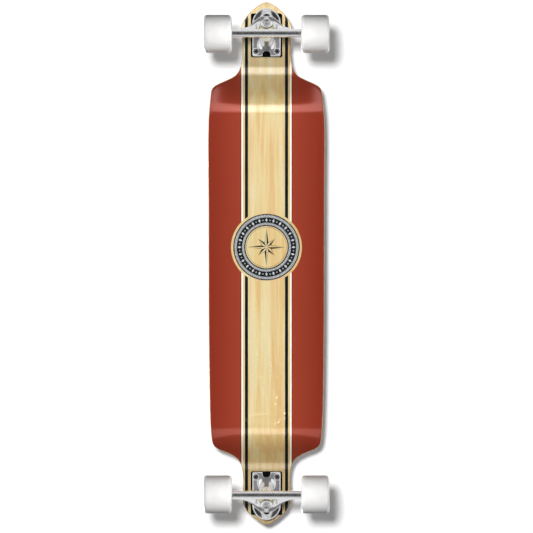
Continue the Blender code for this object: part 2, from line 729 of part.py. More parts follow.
def build_hanger(end, pivot, materials):
    """The hanger and its axle. Both hang on the pivot empty, which turns them."""
    hanger = add_object(f"{end}_hanger", hanger_mesh(), materials["cast_aluminium"], pivot)
    for name, low, high in (("road", -0.030, -RING_SEAT), ("board", RING_SEAT, 0.020)):
        seat = add_object(f"{end}_{name}_seat", turned_mesh("seat", (
            (low, BUSHING_RADIUS + 2 * GAP), (high, BUSHING_RADIUS + 2 * GAP)), 24), None, pivot)
        combine(hanger, seat, "DIFFERENCE")
    hole = add_object(f"{end}_ring_hole", turned_mesh("ring_hole", (
        (-0.012, RING_HOLE), (0.012, RING_HOLE)), 20), None, pivot)
    combine(hanger, hole, "DIFFERENCE")
    clearance = add_object(f"{end}_steer_clearance", turned_mesh("steer_clearance", (
        (CUP_START - GAP, STEER_CLEARANCE), (0.0450, STEER_CLEARANCE)), 20),
        None, pivot, (0, 0, 0), (0, -math.pi / 2, 0))
    combine(hanger, clearance, "DIFFERENCE")
    nose = add_object(f"{end}_pivot_nose", turned_mesh("pivot_nose", (
        (RING_HOLE + 0.0020, RING_SEAT - 0.0006), (BUSHING_RADIUS + 0.0010, RING_SEAT - 0.0006),
        (BUSHING_RADIUS + 0.0012, NOSE_RADIUS), (NOSE_TIP - 0.0030, NOSE_RADIUS - 0.0002),
        (NOSE_TIP - 0.0008, NOSE_RADIUS - 0.0022), (NOSE_TIP, NOSE_RADIUS - 0.0042)), 12),
        None, pivot, (0, 0, 0), (0, -math.pi / 2, 0))
    combine(hanger, nose, "UNION")

    cos, sin = math.cos(PIVOT_ANGLE), math.sin(PIVOT_ANGLE)
    axle_place = (-RING_U * cos - RING_W * sin, 0, RING_U * sin - RING_W * cos)
    bore = add_object(f"{end}_axle_bore", turned_mesh("axle_bore", (
        (-0.100, AXLE_RADIUS + GAP), (0.100, AXLE_RADIUS + GAP)), 16),
        None, pivot, axle_place, (math.pi / 2, 0, 0))
    combine(hanger, bore, "DIFFERENCE")
    end_face = AXLE_HALF_LENGTH
    add_object(f"{end}_axle", turned_mesh("axle", (
        (-end_face, AXLE_RADIUS - 0.0008), (-end_face + 0.0008, AXLE_RADIUS),
        (end_face - 0.0008, AXLE_RADIUS), (end_face, AXLE_RADIUS - 0.0008)), 16),
        materials["plated_steel"], pivot, axle_place, (math.pi / 2, 0, 0))


# ------------------------------------------------------------ wheels


def wheel_profile():
    """The wheel's section from its inner face outwards; heights from the wheel's middle."""
    rim, half = WHEEL_RADIUS, WHEEL_HALF_WIDTH
    first, second = bearing_places()
    bore = BEARING_RADIUS + GAP
    ridge = 0.0090
    return (
        (first - GAP, bore),
        (first - GAP, 0.0160),
        (-0.0200, 0.0176),
        (-half, 0.0285),
        (-half + 0.0016, 0.0336),
        (-half + 0.0068, rim),
        (half - 0.0068, rim),
        (half - 0.0016, 0.0336),
        (half, 0.0285),
        (second + BEARING_WIDTH + GAP, 0.0165),
        (second + BEARING_WIDTH + GAP, bore),
        (second - GAP, bore),
        (second - GAP, ridge),
        (first + BEARING_WIDTH + GAP, ridge),
        (first + BEARING_WIDTH + GAP, bore),
    )


def bearing_places():
    """Inner faces of the two bearings, measured outwards from the wheel's middle."""
    first = HANGER_HALF_WIDTH + GAP + SPEED_WASHER - WHEEL_CENTRE_Y
    return first, first + BEARING_WIDTH + SPACER_LENGTH


def build_wheel(end, pivot, side_name, side, materials):
    """One wheel with its bearings, the sleeve they run on and the axle nut."""
    steel = materials["plated_steel"]
    cos, sin = math.cos(PIVOT_ANGLE), math.sin(PIVOT_ANGLE)
    name = f"{end}_{side_name}"
    place = (-RING_U * cos - RING_W * sin, side * WHEEL_CENTRE_Y, RING_U * sin - RING_W * cos)
    hub = add_empty(f"{name}_hub", pivot, place, (-side * math.pi / 2, 0, 0))
    upright = -side * PIVOT_ANGLE  # undoes the pivot frame's lean, so that a flat faces down
    half_step = math.pi / WHEEL_STEPS
    add_object(f"{name}_wheel", turned_mesh("wheel", wheel_profile(), WHEEL_STEPS, True, half_step),
               materials["white_urethane"], hub, (0, 0, 0), (0, 0, upright))

    first, second = bearing_places()
    bore = RACE_RADIUS + 0.0004
    for label, start in (("inner", first), ("outer", second)):
        stop = start + BEARING_WIDTH
        add_object(f"{name}_{label}_bearing", turned_mesh("bearing", (
            (start, bore), (start, BEARING_RADIUS), (stop, BEARING_RADIUS), (stop, bore)),
            16, hollow=True), materials["bearing_steel"], hub)

    inside = AXLE_RADIUS + GAP
    washer = 0.0072
    outer = second + BEARING_WIDTH
    add_object(f"{name}_sleeve", turned_mesh("sleeve", (
        (first - SPEED_WASHER, inside),
        (first - SPEED_WASHER, washer),
        (first - GAP, washer),
        (first - GAP, RACE_RADIUS),
        (outer + GAP, RACE_RADIUS),
        (outer + GAP, washer),
        (outer + SPEED_WASHER, washer),
        (outer + SPEED_WASHER, inside),
    ), 10, hollow=True), steel, hub)

    start = outer + SPEED_WASHER + GAP
    stop = AXLE_HALF_LENGTH - WHEEL_CENTRE_Y - 0.0006
    add_object(f"{name}_axle_nut", turned_mesh("axle_nut", (
        (start, inside),
        (start, 0.0063, 6),
        (stop - 0.0022, 0.0063, 6),
        (stop - 0.0020, 0.0058),
        (stop, 0.0054),
        (stop, inside),
    ), 12, hollow=True), steel, hub)


# ------------------------------------------------------------ the whole board


def build_truck(end, axle_x, turn, materials):
    truck = add_empty(f"{end}_truck", None, (axle_x, 0, AXLE_Z), (0, 0, turn))
    pivot = add_empty(f"{end}_pivot", truck, (RING_U, 0, RING_W), (0, -PIVOT_ANGLE, 0))
    kingpin_axis = add_empty(f"{end}_kingpin_axis", truck, pivot.location, pivot.rotation_euler)
    build_riser(end, truck, materials)
    build_baseplate(end, truck, pivot, materials)
    build_pivot_cup(end, truck, pivot, materials)
    build_kingpin(end, kingpin_axis, materials)
    build_hanger(end, pivot, materials)
    for side_name, side in (("left", 1), ("right", -1)):
        facing = side if turn == 0 else -side
        build_wheel(end, pivot, side_name, facing, materials)


def main():
    clear_scene()
    materials = {name: make_material(name, *look) for name, look in LOOKS.items()}
    build_deck(materials)
    build_fasteners(materials)
    build_truck("front", FRONT_AXLE_X, 0.0, materials)
    build_truck("rear", REAR_AXLE_X, math.pi, materials)


main()
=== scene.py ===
import json
import math

import bmesh
import bpy
import numpy as np
from mathutils import Matrix, Vector


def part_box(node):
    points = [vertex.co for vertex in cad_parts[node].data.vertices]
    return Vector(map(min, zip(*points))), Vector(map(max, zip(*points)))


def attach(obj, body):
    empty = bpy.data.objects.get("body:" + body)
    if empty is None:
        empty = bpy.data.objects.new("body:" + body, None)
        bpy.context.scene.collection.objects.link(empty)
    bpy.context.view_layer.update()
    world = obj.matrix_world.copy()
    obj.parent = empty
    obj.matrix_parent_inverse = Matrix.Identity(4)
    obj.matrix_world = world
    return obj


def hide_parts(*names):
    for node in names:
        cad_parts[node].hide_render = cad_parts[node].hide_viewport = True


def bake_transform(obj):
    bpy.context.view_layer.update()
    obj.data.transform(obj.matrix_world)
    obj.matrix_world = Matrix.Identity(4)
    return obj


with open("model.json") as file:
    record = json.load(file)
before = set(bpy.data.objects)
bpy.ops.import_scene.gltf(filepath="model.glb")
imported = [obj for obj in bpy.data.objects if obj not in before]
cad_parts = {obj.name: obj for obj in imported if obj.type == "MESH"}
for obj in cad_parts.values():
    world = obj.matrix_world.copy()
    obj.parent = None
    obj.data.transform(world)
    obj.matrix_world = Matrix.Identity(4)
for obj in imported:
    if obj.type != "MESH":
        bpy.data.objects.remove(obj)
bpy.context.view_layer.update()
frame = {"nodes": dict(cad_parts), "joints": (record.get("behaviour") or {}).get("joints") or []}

# The looks of a drop-deck longboard skateboard, in metres, in the CAD frame: +X to the nose,
# +Y to the rider's left, +Z up, wheels standing on z = 0. The camera looks up at the underside.

GAP = 0.0003  # left between pieces that touch

# ------------------------------------------------------------ places read from the frame

JOINTS = {joint["name"]: joint for joint in frame["joints"]}
DECK_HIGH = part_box("deck")[1]
GRIP_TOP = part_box("grip_tape")[1].z
RISER_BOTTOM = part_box("front_riser_pad")[0].z

ROOT = "deck_assembly"
ENDS = (("front", 1), ("rear", -1))  # name, and the way of its nose along X
SIDES = (("left", 1), ("right", -1))

# ------------------------------------------------------------ sizes of the deck

DECK_THICKNESS = 0.011
DECK_DROP = 0.018
DECK_CONCAVE = 0.009
DECK_FLAT = 0.042  # half width of the platform's flat middle
DECK_HALF_WIDTH = 0.1135
DECK_EDGE = 0.0024  # how far the rounded edge reaches in from the outline
BEND_ROUND = 0.011
NOSE_BENDS = (0.303, 0.373)
TAIL_BENDS = (0.329, 0.391)
PAD_BOTTOM = DECK_HIGH.z - DECK_THICKNESS
VENEERS = 7
TIP_ROUND = 0.0022  # length of the rounding at each tip
TIP_ZONE = 0.012  # length at each tip where the cross-sections stand closer
TIP_ROWS = 14
DECK_ROWS = 200
HALF_ROW = 18  # steps from the middle of a cross-section to its edge
LEAST_STEP = 0.00005  # between two cross-sections
SLOPE_STEP = 0.0004  # to either side, to find the slope of the outline
TIP_HALF = 0.020  # half width under which the cross-sections bend with the outline

# Painted bands of the underside: half width where each one ends.
NATURAL_END = 0.0359
BLACK_END = 0.0420
THIN_NATURAL_END = 0.0457
WHITE_END = 0.0488
DARK_LINE_END = 0.0506
INK_BLUR = 0.00012  # half width of the blur between two of them

EMBLEM_X = 0.032
EMBLEM_RADIUS = 0.0689
EMBLEM_RING = (0.0411, 0.0646)  # the black ring
EMBLEM_HATCHES = ((0.0433, 0.0475, 109), (0.0578, 0.0625, 145))  # inner, outer, strokes
EMBLEM_LINE = (0.0385, 0.0390)  # the thin circle round the star
EMBLEM_STAR = (0.0375, 0.0235, 0.0098)  # reach of its long and short points, and its waist
EMBLEM_BAND = 48  # diamonds and dots

# ------------------------------------------------------------ sizes of a truck

AXLE_RADIUS = 0.004
AXLE_HALF = 0.1220
HANGER_HALF = 0.0870
BAR_RADIUS = 0.0085
BAR_OFFSET = 0.0013
PIVOT_ANGLE = math.radians(45)
TRUCK_HEIGHT = 0.068
PLATE_THICKNESS = 0.008
PLATE_HALF = 0.0273
PLATE_INBOARD = -0.0430
PLATE_SHOULDER = 0.0235
PLATE_OUTBOARD = 0.0507
RING_U = 0.0080
RING_W = 0.0319
RING_SEAT = 0.0045
RING_HOLE = 0.0080
BUSHING_RADIUS = 0.0140
BUSHING_LENGTH = 0.0114
KINGPIN_RADIUS = 0.00475
KINGPIN_FLATS = 0.00715
KINGPIN_TIP = 0.0324
KINGPIN_HEAD = (0.0360, 0.0420)
BASE_SEAT = 0.0188
NOSE_RADIUS = 0.0060
NOSE_TIP = 0.0242
CUP_START = 0.0169
CUP_FLANGE = 0.0010
CUP_END = 0.0260
CUP_WALL = 0.0015
BOSS_RADIUS = 0.0099
BOSS_END = 0.0276
BOLT_ALONG = (-0.0332, 0.0208)
BOLT_SIDE = 0.02064
BOLT_RADIUS = 0.0024
BOLT_LENGTH = 0.03175
BOLT_HEAD = 0.0047
BOSS_FACE = TRUCK_HEIGHT - PLATE_THICKNESS - 0.0002
CORNER = 0.0034  # rounding of the corners of the base plate and the riser
AXLE_BORE = AXLE_RADIUS + 0.0001
KINGPIN_BORE = KINGPIN_RADIUS + 0.0002
COARSE_PITCH = 0.00106  # of the axle's and the kingpin's threads
VOXEL = 0.00055  # grain of the fused castings

WHEEL_RADIUS = 0.037
WHEEL_CENTRE = 0.0947
WHEEL_HALF = 0.0275
BEARING_WIDTH = 0.007
BEARING_RADIUS = 0.011
SPACER = 0.0103
RACE_RADIUS = 0.006
SPEED_WASHER = 0.001


# ------------------------------------------------------------ node helpers


class Nodes:
    """Builds a node tree with short calls."""

    def __init__(self, tree):
        self.tree = tree
        self.coords = self.node("TexCoord").outputs
        self.place = self.coords["Object"]

    def link(self, source, socket):
        """Join a socket to a link, or set it to a value. A colour's alpha may be left out."""
        if hasattr(source, "links"):
            self.tree.links.new(source, socket)
        elif socket.type == "RGBA" and len(source) == 3:
            socket.default_value = (*source, 1.0)
        else:
            socket.default_value = source

    def node(self, kind, inputs=(), **settings):
        """A node with its settings, and with values or links for its inputs."""
        made = self.tree.nodes.new("ShaderNode" + kind)
        for key, value in settings.items():
            setattr(made, key, value)
        for socket, source in dict(inputs).items():
            self.link(source, made.inputs[socket])
        return made

    def math(self, operation, *terms):
        return self.node("Math", enumerate(terms), operation=operation).outputs[0]

    def stretched(self, scale, offset=(0, 0, 0)):
        """The object's own coordinates, scaled along each axis."""
        return self.node("Mapping", {"Vector": self.place, "Scale": scale,
                                     "Location": offset}).outputs[0]

    def noise(self, scale, detail=2.0, roughness=0.5, offset=(0, 0, 0), distortion=0.0):
        """Noise whose grain is one over the scale, in metres along each axis."""
        if not hasattr(scale, "__len__"):
            scale = (scale, scale, scale)
        return self.node("TexNoise", {
            "Vector": self.stretched(scale, offset), "Scale": 1.0, "Detail": detail,
            "Roughness": roughness, "Distortion": distortion}).outputs["Fac"]

    def ramp(self, value, *stops):
        """A colour or grey ramp from (position, colour) stops."""
        made = self.node("ValToRGB", {0: value})
        elements = made.color_ramp.elements
        while len(elements) < len(stops):
            elements.new(0.5)
        for element, (position, colour) in zip(elements, stops):
            element.position = position
            colour = colour if hasattr(colour, "__len__") else (colour, colour, colour)
            element.color = (*colour, 1.0)
        return made.outputs[0]

    def between(self, value, low, high, to_low, to_high):
        """The value, moved from one range to another and clamped to it."""
        return self.node("MapRange", {"Value": value, "From Min": low, "From Max": high,
                                      "To Min": to_low, "To Max": to_high}).outputs[0]

    def mix(self, share, first, second, blend="MIX"):
        made = self.node("Mix", {0: share, 6: first, 7: second}, data_type="RGBA",
                         blend_type=blend)
        return made.outputs[2]

    def axis(self, index):
        return self.node("SeparateXYZ", {0: self.place}).outputs[index]

    def bump(self, height, distance, strength=1.0, normal=None):
        inputs = {"Strength": strength, "Distance": distance, "Height": height}
        if normal is not None:
            inputs["Normal"] = normal
        return self.node("Bump", inputs).outputs[0]


class Shader(Nodes):
    """A material and its Principled shader."""

    def __init__(self, name):
        self.material = bpy.data.materials.new(name)
        self.material.use_nodes = True
        super().__init__(self.material.node_tree)
        self.bsdf = self.tree.nodes["Principled BSDF"]

    def set(self, **values):
        """Values or links for the Principled shader, by the socket's name with underscores."""
        for key, value in values.items():
            self.link(value, self.bsdf.inputs[key.replace("_", " ")])
        return self.material


def linear(red, green, blue):
    """An sRGB colour in 0 to 255 as linear values."""
    def straighten(value):
        value /= 255
        return value / 12.92 if value <= 0.04045 else ((value + 0.055) / 1.055) ** 2.4
    return straighten(red), straighten(green), straighten(blue)


# ------------------------------------------------------------ materials

PALE_MAPLE = linear(204, 190, 144)
WARM_MAPLE = linear(198, 164, 107)
INK = linear(15, 20, 23)


def maple(s):
    """Colour and grain height of clear maple whose grain runs along X."""
    figure = s.noise((5, 95, 95), 3.0, 0.55, (3.1, 0.7, 0.0), 0.25)
    board = s.noise((4, 14, 14), 1.0, 0.5, (1.6, 0.3, 0.0))
    lean = s.between(s.axis(1), -0.040, 0.040, 0.06, -0.06)  # painted shade: paler towards -Y, the rider's right, and darker towards +Y
    drift = s.math("MULTIPLY", s.math("SUBTRACT", board, 0.5), 0.35)
    figure = s.math("ADD", figure, s.math("ADD", lean, drift))
    colour = s.ramp(figure, (0.34, WARM_MAPLE), (0.50, linear(204, 181, 128)), (0.64, PALE_MAPLE))
    fibre = s.noise((26, 1500, 1500), 2.0, 0.6, (1.0, 5.0, 2.0))
    colour = s.mix(s.between(fibre, 0.48, 0.72, 0.0, 0.30), colour, linear(190, 160, 106))
    fleck = s.noise((90, 900, 900), 1.0, 0.5, (9.0, 3.0, 0.0))
    colour = s.mix(s.between(fleck, 0.66, 0.74, 0.0, 0.22), colour, linear(164, 124, 76))
    return colour, fibre


def make_painted_deck():
    """The underside: maple with ink bands along its middle and red over the rest."""
    s = Shader("painted_maple")
    wood, fibre = maple(s)
    side = s.math("ABSOLUTE", s.axis(1))

    def past(edge):
        return s.between(side, edge - INK_BLUR, edge + INK_BLUR, 0.0, 1.0)

    mottle = s.noise((14, 30, 30), 3.0, 0.5, (0.0, 4.0, 0.0))
    # Painted shade: the red darkens from the dark line out to the rails, where the concave turns
    # away from the light.
    red_painted_shade = s.between(side, DARK_LINE_END, 0.104, 0.0, 1.0)
    red = s.mix(red_painted_shade, linear(140, 56, 38), linear(125, 42, 26))
    red = s.mix(s.between(mottle, 0.3, 0.7, 0.0, 0.10), red, linear(116, 35, 20))
    white = s.mix(s.between(mottle, 0.35, 0.7, 0.0, 0.35), linear(226, 223, 212),
                  linear(219, 213, 198))
    paint = wood
    for edge, colour in ((NATURAL_END, INK), (BLACK_END, wood), (THIN_NATURAL_END, white),
                         (WHITE_END, linear(120, 38, 22)), (DARK_LINE_END, red)):
        paint = s.mix(past(edge), paint, colour)
    tint = s.mix(past(NATURAL_END), (0.48, 0.45, 0.38), paint)
    wave = s.noise((9, 40, 40), 2.0)
    micro = s.noise(700, 2.0)
    height = s.math("ADD", s.math("MULTIPLY", fibre, 0.5), s.math("MULTIPLY", micro, 0.5))
    return s.set(Base_Color=paint, Normal=s.bump(height, 0.00003, 0.5, s.bump(wave, 0.0004, 0.25)),
                 Roughness=s.between(mottle, 0.2, 0.8, 0.15, 0.19), Specular_IOR_Level=0.9,
                 Specular_Tint=tint, Coat_Weight=0.2, Coat_Roughness=0.12)


def make_bare_maple():
    """Maple with no bands, for the emblem's ground."""
    s = Shader("bare_maple")
    wood, fibre = maple(s)
    return s.set(Base_Color=wood, Normal=s.bump(fibre, 0.00003, 0.4), Roughness=0.4,
                 Coat_Weight=0.5, Coat_Roughness=0.12, Specular_IOR_Level=0.0)


def make_ply_edge():
    """The routed edge, with the veneers of the plywood as lines along it."""
    s = Shader("ply_edge")
    layer = s.node("Attribute", attribute_name="ply").outputs["Fac"]
    wave = s.math("MULTIPLY", layer, VENEERS)
    glue = s.math("ABSOLUTE", s.math("SUBTRACT", s.math("FRACT", wave), 0.5))
    cross = s.math("GREATER_THAN", s.math("FRACT", s.math("MULTIPLY", wave, 0.5)), 0.5)
    grain = s.noise((60, 60, 1400), 2.0, 0.6)
    pale = s.ramp(grain, (0.3, linear(205, 155, 92)), (0.7, linear(232, 190, 124)))
    dark = s.ramp(grain, (0.3, linear(150, 92, 52)), (0.7, linear(190, 130, 78)))
    colour = s.mix(s.between(glue, 0.43, 0.49, 0.0, 0.8), s.mix(cross, pale, dark),
                   linear(104, 58, 32))
    return s.set(Base_Color=colour, Normal=s.bump(grain, 0.00006, 0.5), Coat_Weight=0.3,
                 Coat_Roughness=0.25, Roughness=s.between(grain, 0.3, 0.7, 0.42, 0.58))


def make_grip():
    """Black abrasive grains in resin: painted glints on the grains, and a rough surface."""
    s = Shader("grip_grit")
    grains = s.node("TexVoronoi", {"Vector": s.stretched((1900, 1900, 1900)), "Scale": 1.0})
    gap = grains.outputs["Distance"]
    clumps = s.noise(520, 3.0, 0.65)
    scuff = s.noise((9, 16, 9), 4.0, 0.6, (2.0, 0.0, 0.0))
    colour = s.ramp(clumps, (0.32, 0.006), (0.55, 0.013), (0.72, 0.034))
    colour = s.mix(s.between(scuff, 0.5, 0.75, 0.0, 0.35), colour, (0.040, 0.039, 0.037))
    # Painted glints: the middle of each grain is made lighter in the colour.
    colour = s.mix(1.0, colour, s.ramp(gap, (0.0, 0.10), (0.16, 0.0)), "ADD")
    height = s.math("SUBTRACT", clumps, s.math("MULTIPLY", gap, 0.6))
    return s.set(Base_Color=colour, Normal=s.bump(height, 0.0004, 0.9),
                 Roughness=s.between(clumps, 0.3, 0.7, 0.72, 0.95))


def make_mottled(name, mottle, tones, roughness, fine, depth, strength, **sockets):
    """Two tones that run into each other, with a bump from a finer noise if one is given."""
    s = Shader(name)
    cloud = s.noise(*mottle)
    height = s.noise(*fine) if fine else cloud
    return s.set(Base_Color=s.ramp(cloud, (0.3, tones[0]), (0.7, tones[1])),
                 Normal=s.bump(height, depth, strength),
                 Roughness=s.between(cloud, 0.3, 0.7, *roughness), **sockets)


def make_cast(name, pale, dark, smooth, rough, pits, metallic=0.75):
    """Tumbled aluminium casting, with a silver lacquer where it is less metallic."""
    s = Shader(name)
    cloud = s.noise(70, 4.0, 0.6)
    skin = s.noise(900, 4.0, 0.7)
    pores = s.noise(2600, 2.0, 0.6)
    colour = s.ramp(cloud, (0.3, dark), (0.68, pale))
    colour = s.mix(s.between(pores, 0.62, 0.75, 0.0, 0.5), colour, (0.25, 0.25, 0.26))
    shine = s.math("ADD", s.between(cloud, 0.3, 0.7, smooth, rough),
                   s.between(skin, 0.4, 0.8, 0.0, 0.10))
    height = s.math("ADD", skin, s.math("MULTIPLY", pores, 0.4))
    return s.set(Base_Color=colour, Normal=s.bump(height, pits, 0.6), Metallic=metallic,
                 Roughness=shine)


def make_steel(name, pale, dark, smooth, rough, metallic=1.0):
    """Plated steel with a faint turned grain and handling marks."""
    s = Shader(name)
    cloud = s.noise(130, 3.0, 0.6)
    lines = s.noise((900, 900, 5200), 2.0, 0.6)
    marks = s.noise((400, 1500, 400), 4.0, 0.7, (4.0, 4.0, 1.0))
    shine = s.math("ADD", s.between(cloud, 0.3, 0.7, smooth, rough),
                   s.between(marks, 0.5, 0.8, 0.0, 0.14))
    return s.set(Base_Color=s.ramp(cloud, (0.3, dark), (0.7, pale)), Roughness=shine,
                 Normal=s.bump(lines, 0.00003, 0.45), Metallic=metallic)


def make_urethane(name, pale, dark, roughness, depth, scatter):
    """Cast urethane, slightly see-through, with a moulded skin."""
    s = Shader(name)
    cloud = s.noise(55, 3.0, 0.5)
    skin = s.noise(1100, 3.0, 0.6)
    return s.set(Base_Color=s.ramp(cloud, (0.3, dark), (0.7, pale)),
                 Normal=s.bump(skin, depth, 0.5), Subsurface_Weight=scatter,
                 Subsurface_Radius=(0.004, 0.004, 0.003), Subsurface_Scale=1.0,
                 Roughness=s.between(skin, 0.3, 0.7, roughness - 0.04, roughness + 0.06),
                 Specular_IOR_Level=0.4)


def make_tread():
    """The wheel's rolling face: white urethane with faint lathe marks round it."""
    s = Shader("white_tread")
    dust = s.noise(60, 4.0, 0.6, (5.0, 2.0, 0.0))
    marks = s.noise((1, 1, 2600), 2.0, 0.5)
    colour = s.ramp(dust, (0.3, linear(243, 242, 241)), (0.7, linear(250, 249, 248)))
    return s.set(Base_Color=colour, Normal=s.bump(marks, 0.00004, 0.4), Subsurface_Weight=0.08,
                 Subsurface_Radius=(0.004, 0.004, 0.004), Subsurface_Scale=1.0,
                 Roughness=s.between(dust, 0.3, 0.7, 0.40, 0.5), Specular_IOR_Level=0.35)


def make_floor():
    """Pale studio surface that is seen from one side only."""
    s = Shader("studio_white")
    colour = s.ramp(s.noise(6, 3.0), (0.3, 0.86), (0.7, 0.885))
    s.set(Base_Color=colour, Roughness=0.9, Specular_IOR_Level=0.1, Emission_Color=colour,
          Emission_Strength=0.23)
    choose = s.node("MixShader", {0: s.node("NewGeometry").outputs["Backfacing"],
                                  1: s.bsdf.outputs[0], 2: s.node("BsdfTransparent").outputs[0]})
    s.link(choose.outputs[0], s.tree.nodes["Material Output"].inputs["Surface"])
    return s.material


def grey(value, blue=0.0):
    """A neutral grey, with a touch more blue where it is given."""
    return value, value, value + blue


PAINTED = make_painted_deck()
MAPLE = make_bare_maple()
PLY = make_ply_edge()
BLACK_INK = make_mottled("black_ink", (160, 3.0), (linear(13, 17, 20), linear(24, 29, 32)),
                         (0.34, 0.44), (900, 2.0), 0.00002, 0.4, Coat_Weight=0.5,
                         Coat_Roughness=0.12, Specular_IOR_Level=0.0)
SILVER_INK = make_mottled("silver_ink", (420, 3.0), (linear(150, 152, 154), linear(186, 188, 190)),
                          (0.38, 0.5), None, 0.00002, 0.4, Coat_Weight=0.4, Coat_Roughness=0.2)
GRIP = make_grip()
RISER = make_mottled("riser_rubber", (220, 4.0, 0.6), (0.001, 0.005), (0.5, 0.7), (1400, 3.0),
                     0.00006, 0.5, Specular_IOR_Level=0.08)
THREAD = make_mottled("dark_thread", (500, 3.0, 0.6), (0.34, 0.55), (0.28, 0.45), None, 0.00005,
                      0.5, Metallic=1.0)
CAST = make_cast("cast_aluminium", grey(0.84, 0.01), grey(0.70, 0.01), 0.22, 0.32, 0.00004, 0.4)
BAR_CAST = make_cast("hanger_casting", grey(0.84, 0.01), grey(0.72, 0.01), 0.18, 0.26, 0.00003,
                     1.0)
# A darker, rougher copy of the casting: painted shade for the base plate's recessed outboard
# flanks.
ROUGH_CAST_PAINTED_SHADE = make_cast("rough_casting_painted_shade", grey(0.22, 0.01), grey(0.08, 0.01), 0.42, 0.6, 0.0004)
# A darker copy of the casting: a grey tone on the spine, and painted shade in the plate's other
# recesses.
CAST_GREY = make_cast("grey_casting", grey(0.30, 0.01), grey(0.20, 0.01), 0.40, 0.52, 0.00008,
                      0.2)
# A darker copy of the casting: painted shade for the hanger lip's inner slope.
CAST_PAINTED_SHADE = make_cast("casting_painted_shade", grey(0.44, 0.01), grey(0.30, 0.01), 0.32, 0.46, 0.00006, 0.6)
CAST_PALE = make_cast("pale_casting", grey(0.92, 0.01), grey(0.86, 0.01), 0.34, 0.46, 0.00004,
                      0.1)
STEEL = make_steel("plated_steel", grey(0.74, 0.01), grey(0.58, 0.02), 0.16, 0.26, 0.65)
BRIGHT = make_steel("bright_steel", grey(0.90), grey(0.82), 0.10, 0.18, 0.6)
# A darker copy of the steel: painted shade for the cupped washer's rim.
STEEL_PAINTED_SHADE = make_steel("steel_painted_shade", grey(0.20, 0.01), grey(0.12, 0.01), 0.24, 0.36, 0.8)
RACE = make_steel("bearing_steel", grey(0.66, 0.02), grey(0.52, 0.02), 0.14, 0.24)
OXIDE = make_steel("black_oxide", grey(0.050, 0.004), grey(0.026, 0.002), 0.3, 0.42)
CREAM = make_urethane("cream_urethane", linear(240, 232, 178), linear(228, 214, 146), 0.34,
                      0.00004, 0.25)
PALE_CREAM = make_urethane("pale_urethane", linear(246, 235, 208), linear(238, 224, 190), 0.34,
                           0.00004, 0.25)
WHITE = make_urethane("white_urethane", linear(251, 250, 249), linear(245, 244, 243), 0.34,
                      0.00003, 0.10)
TREAD = make_tread()
SHIELD = make_urethane("black_shield", grey(0.022, 0.001), grey(0.012, 0.001), 0.45, 0.00004, 0.0)
NYLON = make_urethane("nylon_insert", grey(0.36), grey(0.28), 0.45, 0.00003, 0.1)


# ------------------------------------------------------------ mesh helpers


def mesh_from(name, points, faces, smooth=32):
    mesh = bpy.data.meshes.new(name)
    mesh.from_pydata([tuple(p) for p in points], [], faces)
    tidy(mesh, smooth)
    return mesh


def tidy(mesh, smooth=32):
    """Merge doubled points, turn every face outwards and shade the rounds smooth."""
    bm = bmesh.new()
    bm.from_mesh(mesh)
    bmesh.ops.remove_doubles(bm, verts=bm.verts, dist=2e-6)
    bmesh.ops.dissolve_degenerate(bm, edges=bm.edges, dist=1e-6)
    bmesh.ops.recalc_face_normals(bm, faces=bm.faces)
    bm.to_mesh(mesh)
    bm.free()
    mesh.shade_smooth()
    mesh.set_sharp_from_angle(angle=math.radians(smooth))


def loft(loops, hollow=False, caps=True):
    """Points and faces of a body through closed loops with the same number of points."""
    count = len(loops[0])
    points = [p for loop in loops for p in loop]
    faces = []
    pairs = list(zip(range(len(loops)), range(1, len(loops))))
    if hollow:
        pairs.append((len(loops) - 1, 0))
    for a, b in pairs:
        for i in range(count):
            j = (i + 1) % count
            faces.append((a * count + i, a * count + j, b * count + j, b * count + i))
    if caps and not hollow:
        faces.append(tuple(range(count)))
        faces.append(tuple(range(len(points) - count, len(points))))
    return points, faces


def hexagon(radius, angle):
    """Distance to a hexagon's side, given its inner radius."""
    side = math.pi / 3
    return radius / math.cos((angle + side / 2) % side - side / 2)


def ring_reach(ring, angle):
    """Radius of one ring: a number, (hexagon's inner radius, cap) or a function of angle."""
    if callable(ring):
        return ring(angle)
    if hasattr(ring, "__len__"):
        return min(hexagon(ring[0], angle), ring[1])
    return ring


def turned(name, rings, steps=64, hollow=False, smooth=32):
    """A body turned about Z from (height, radius) rings."""
    loops = []
    for height, ring in rings:
        loop = []
        for i in range(steps):
            angle = 2 * math.pi * i / steps
            reach = ring_reach(ring, angle)
            loop.append((reach * math.cos(angle), reach * math.sin(angle), height))
        loops.append(loop)
    return mesh_from(name, *loft(loops, hollow), smooth)


def threaded(start, stop, radius, pitch, depth):
    """Rings of a screw thread between two heights."""
    rings = []
    count = max(int(abs(stop - start) / pitch * 6), 2)
    for i in range(count + 1):
        height = start + (stop - start) * i / count
        fade = min(i, count - i, 4) / 4

        def reach(angle, height=height, fade=fade):
            phase = (height / pitch - angle / (2 * math.pi)) % 1
            return radius - depth * fade * abs(2 * phase - 1)
        rings.append((height, reach))
    return rings


def arc(centre, radius, start, end, steps):
    angles = [math.radians(start + (end - start) * i / steps) for i in range(steps + 1)]
    return [(centre[0] + radius * math.cos(a), centre[1] + radius * math.sin(a)) for a in angles]


def stacked(name, levels, hollow=False):
    """A body through (outline, height) levels."""
    loops = [[(x, y, z) for x, y in outline] for outline, z in levels]
    return mesh_from(name, *loft(loops, hollow))


def prism(name, outline, low, high):
    return stacked(name, ((outline, low), (outline, high)))


def shifted(start, *rings, way=1):
    """Rings whose heights are given from a starting height, upwards or downwards."""
    return [(start + way * height, reach) for height, reach in rings]


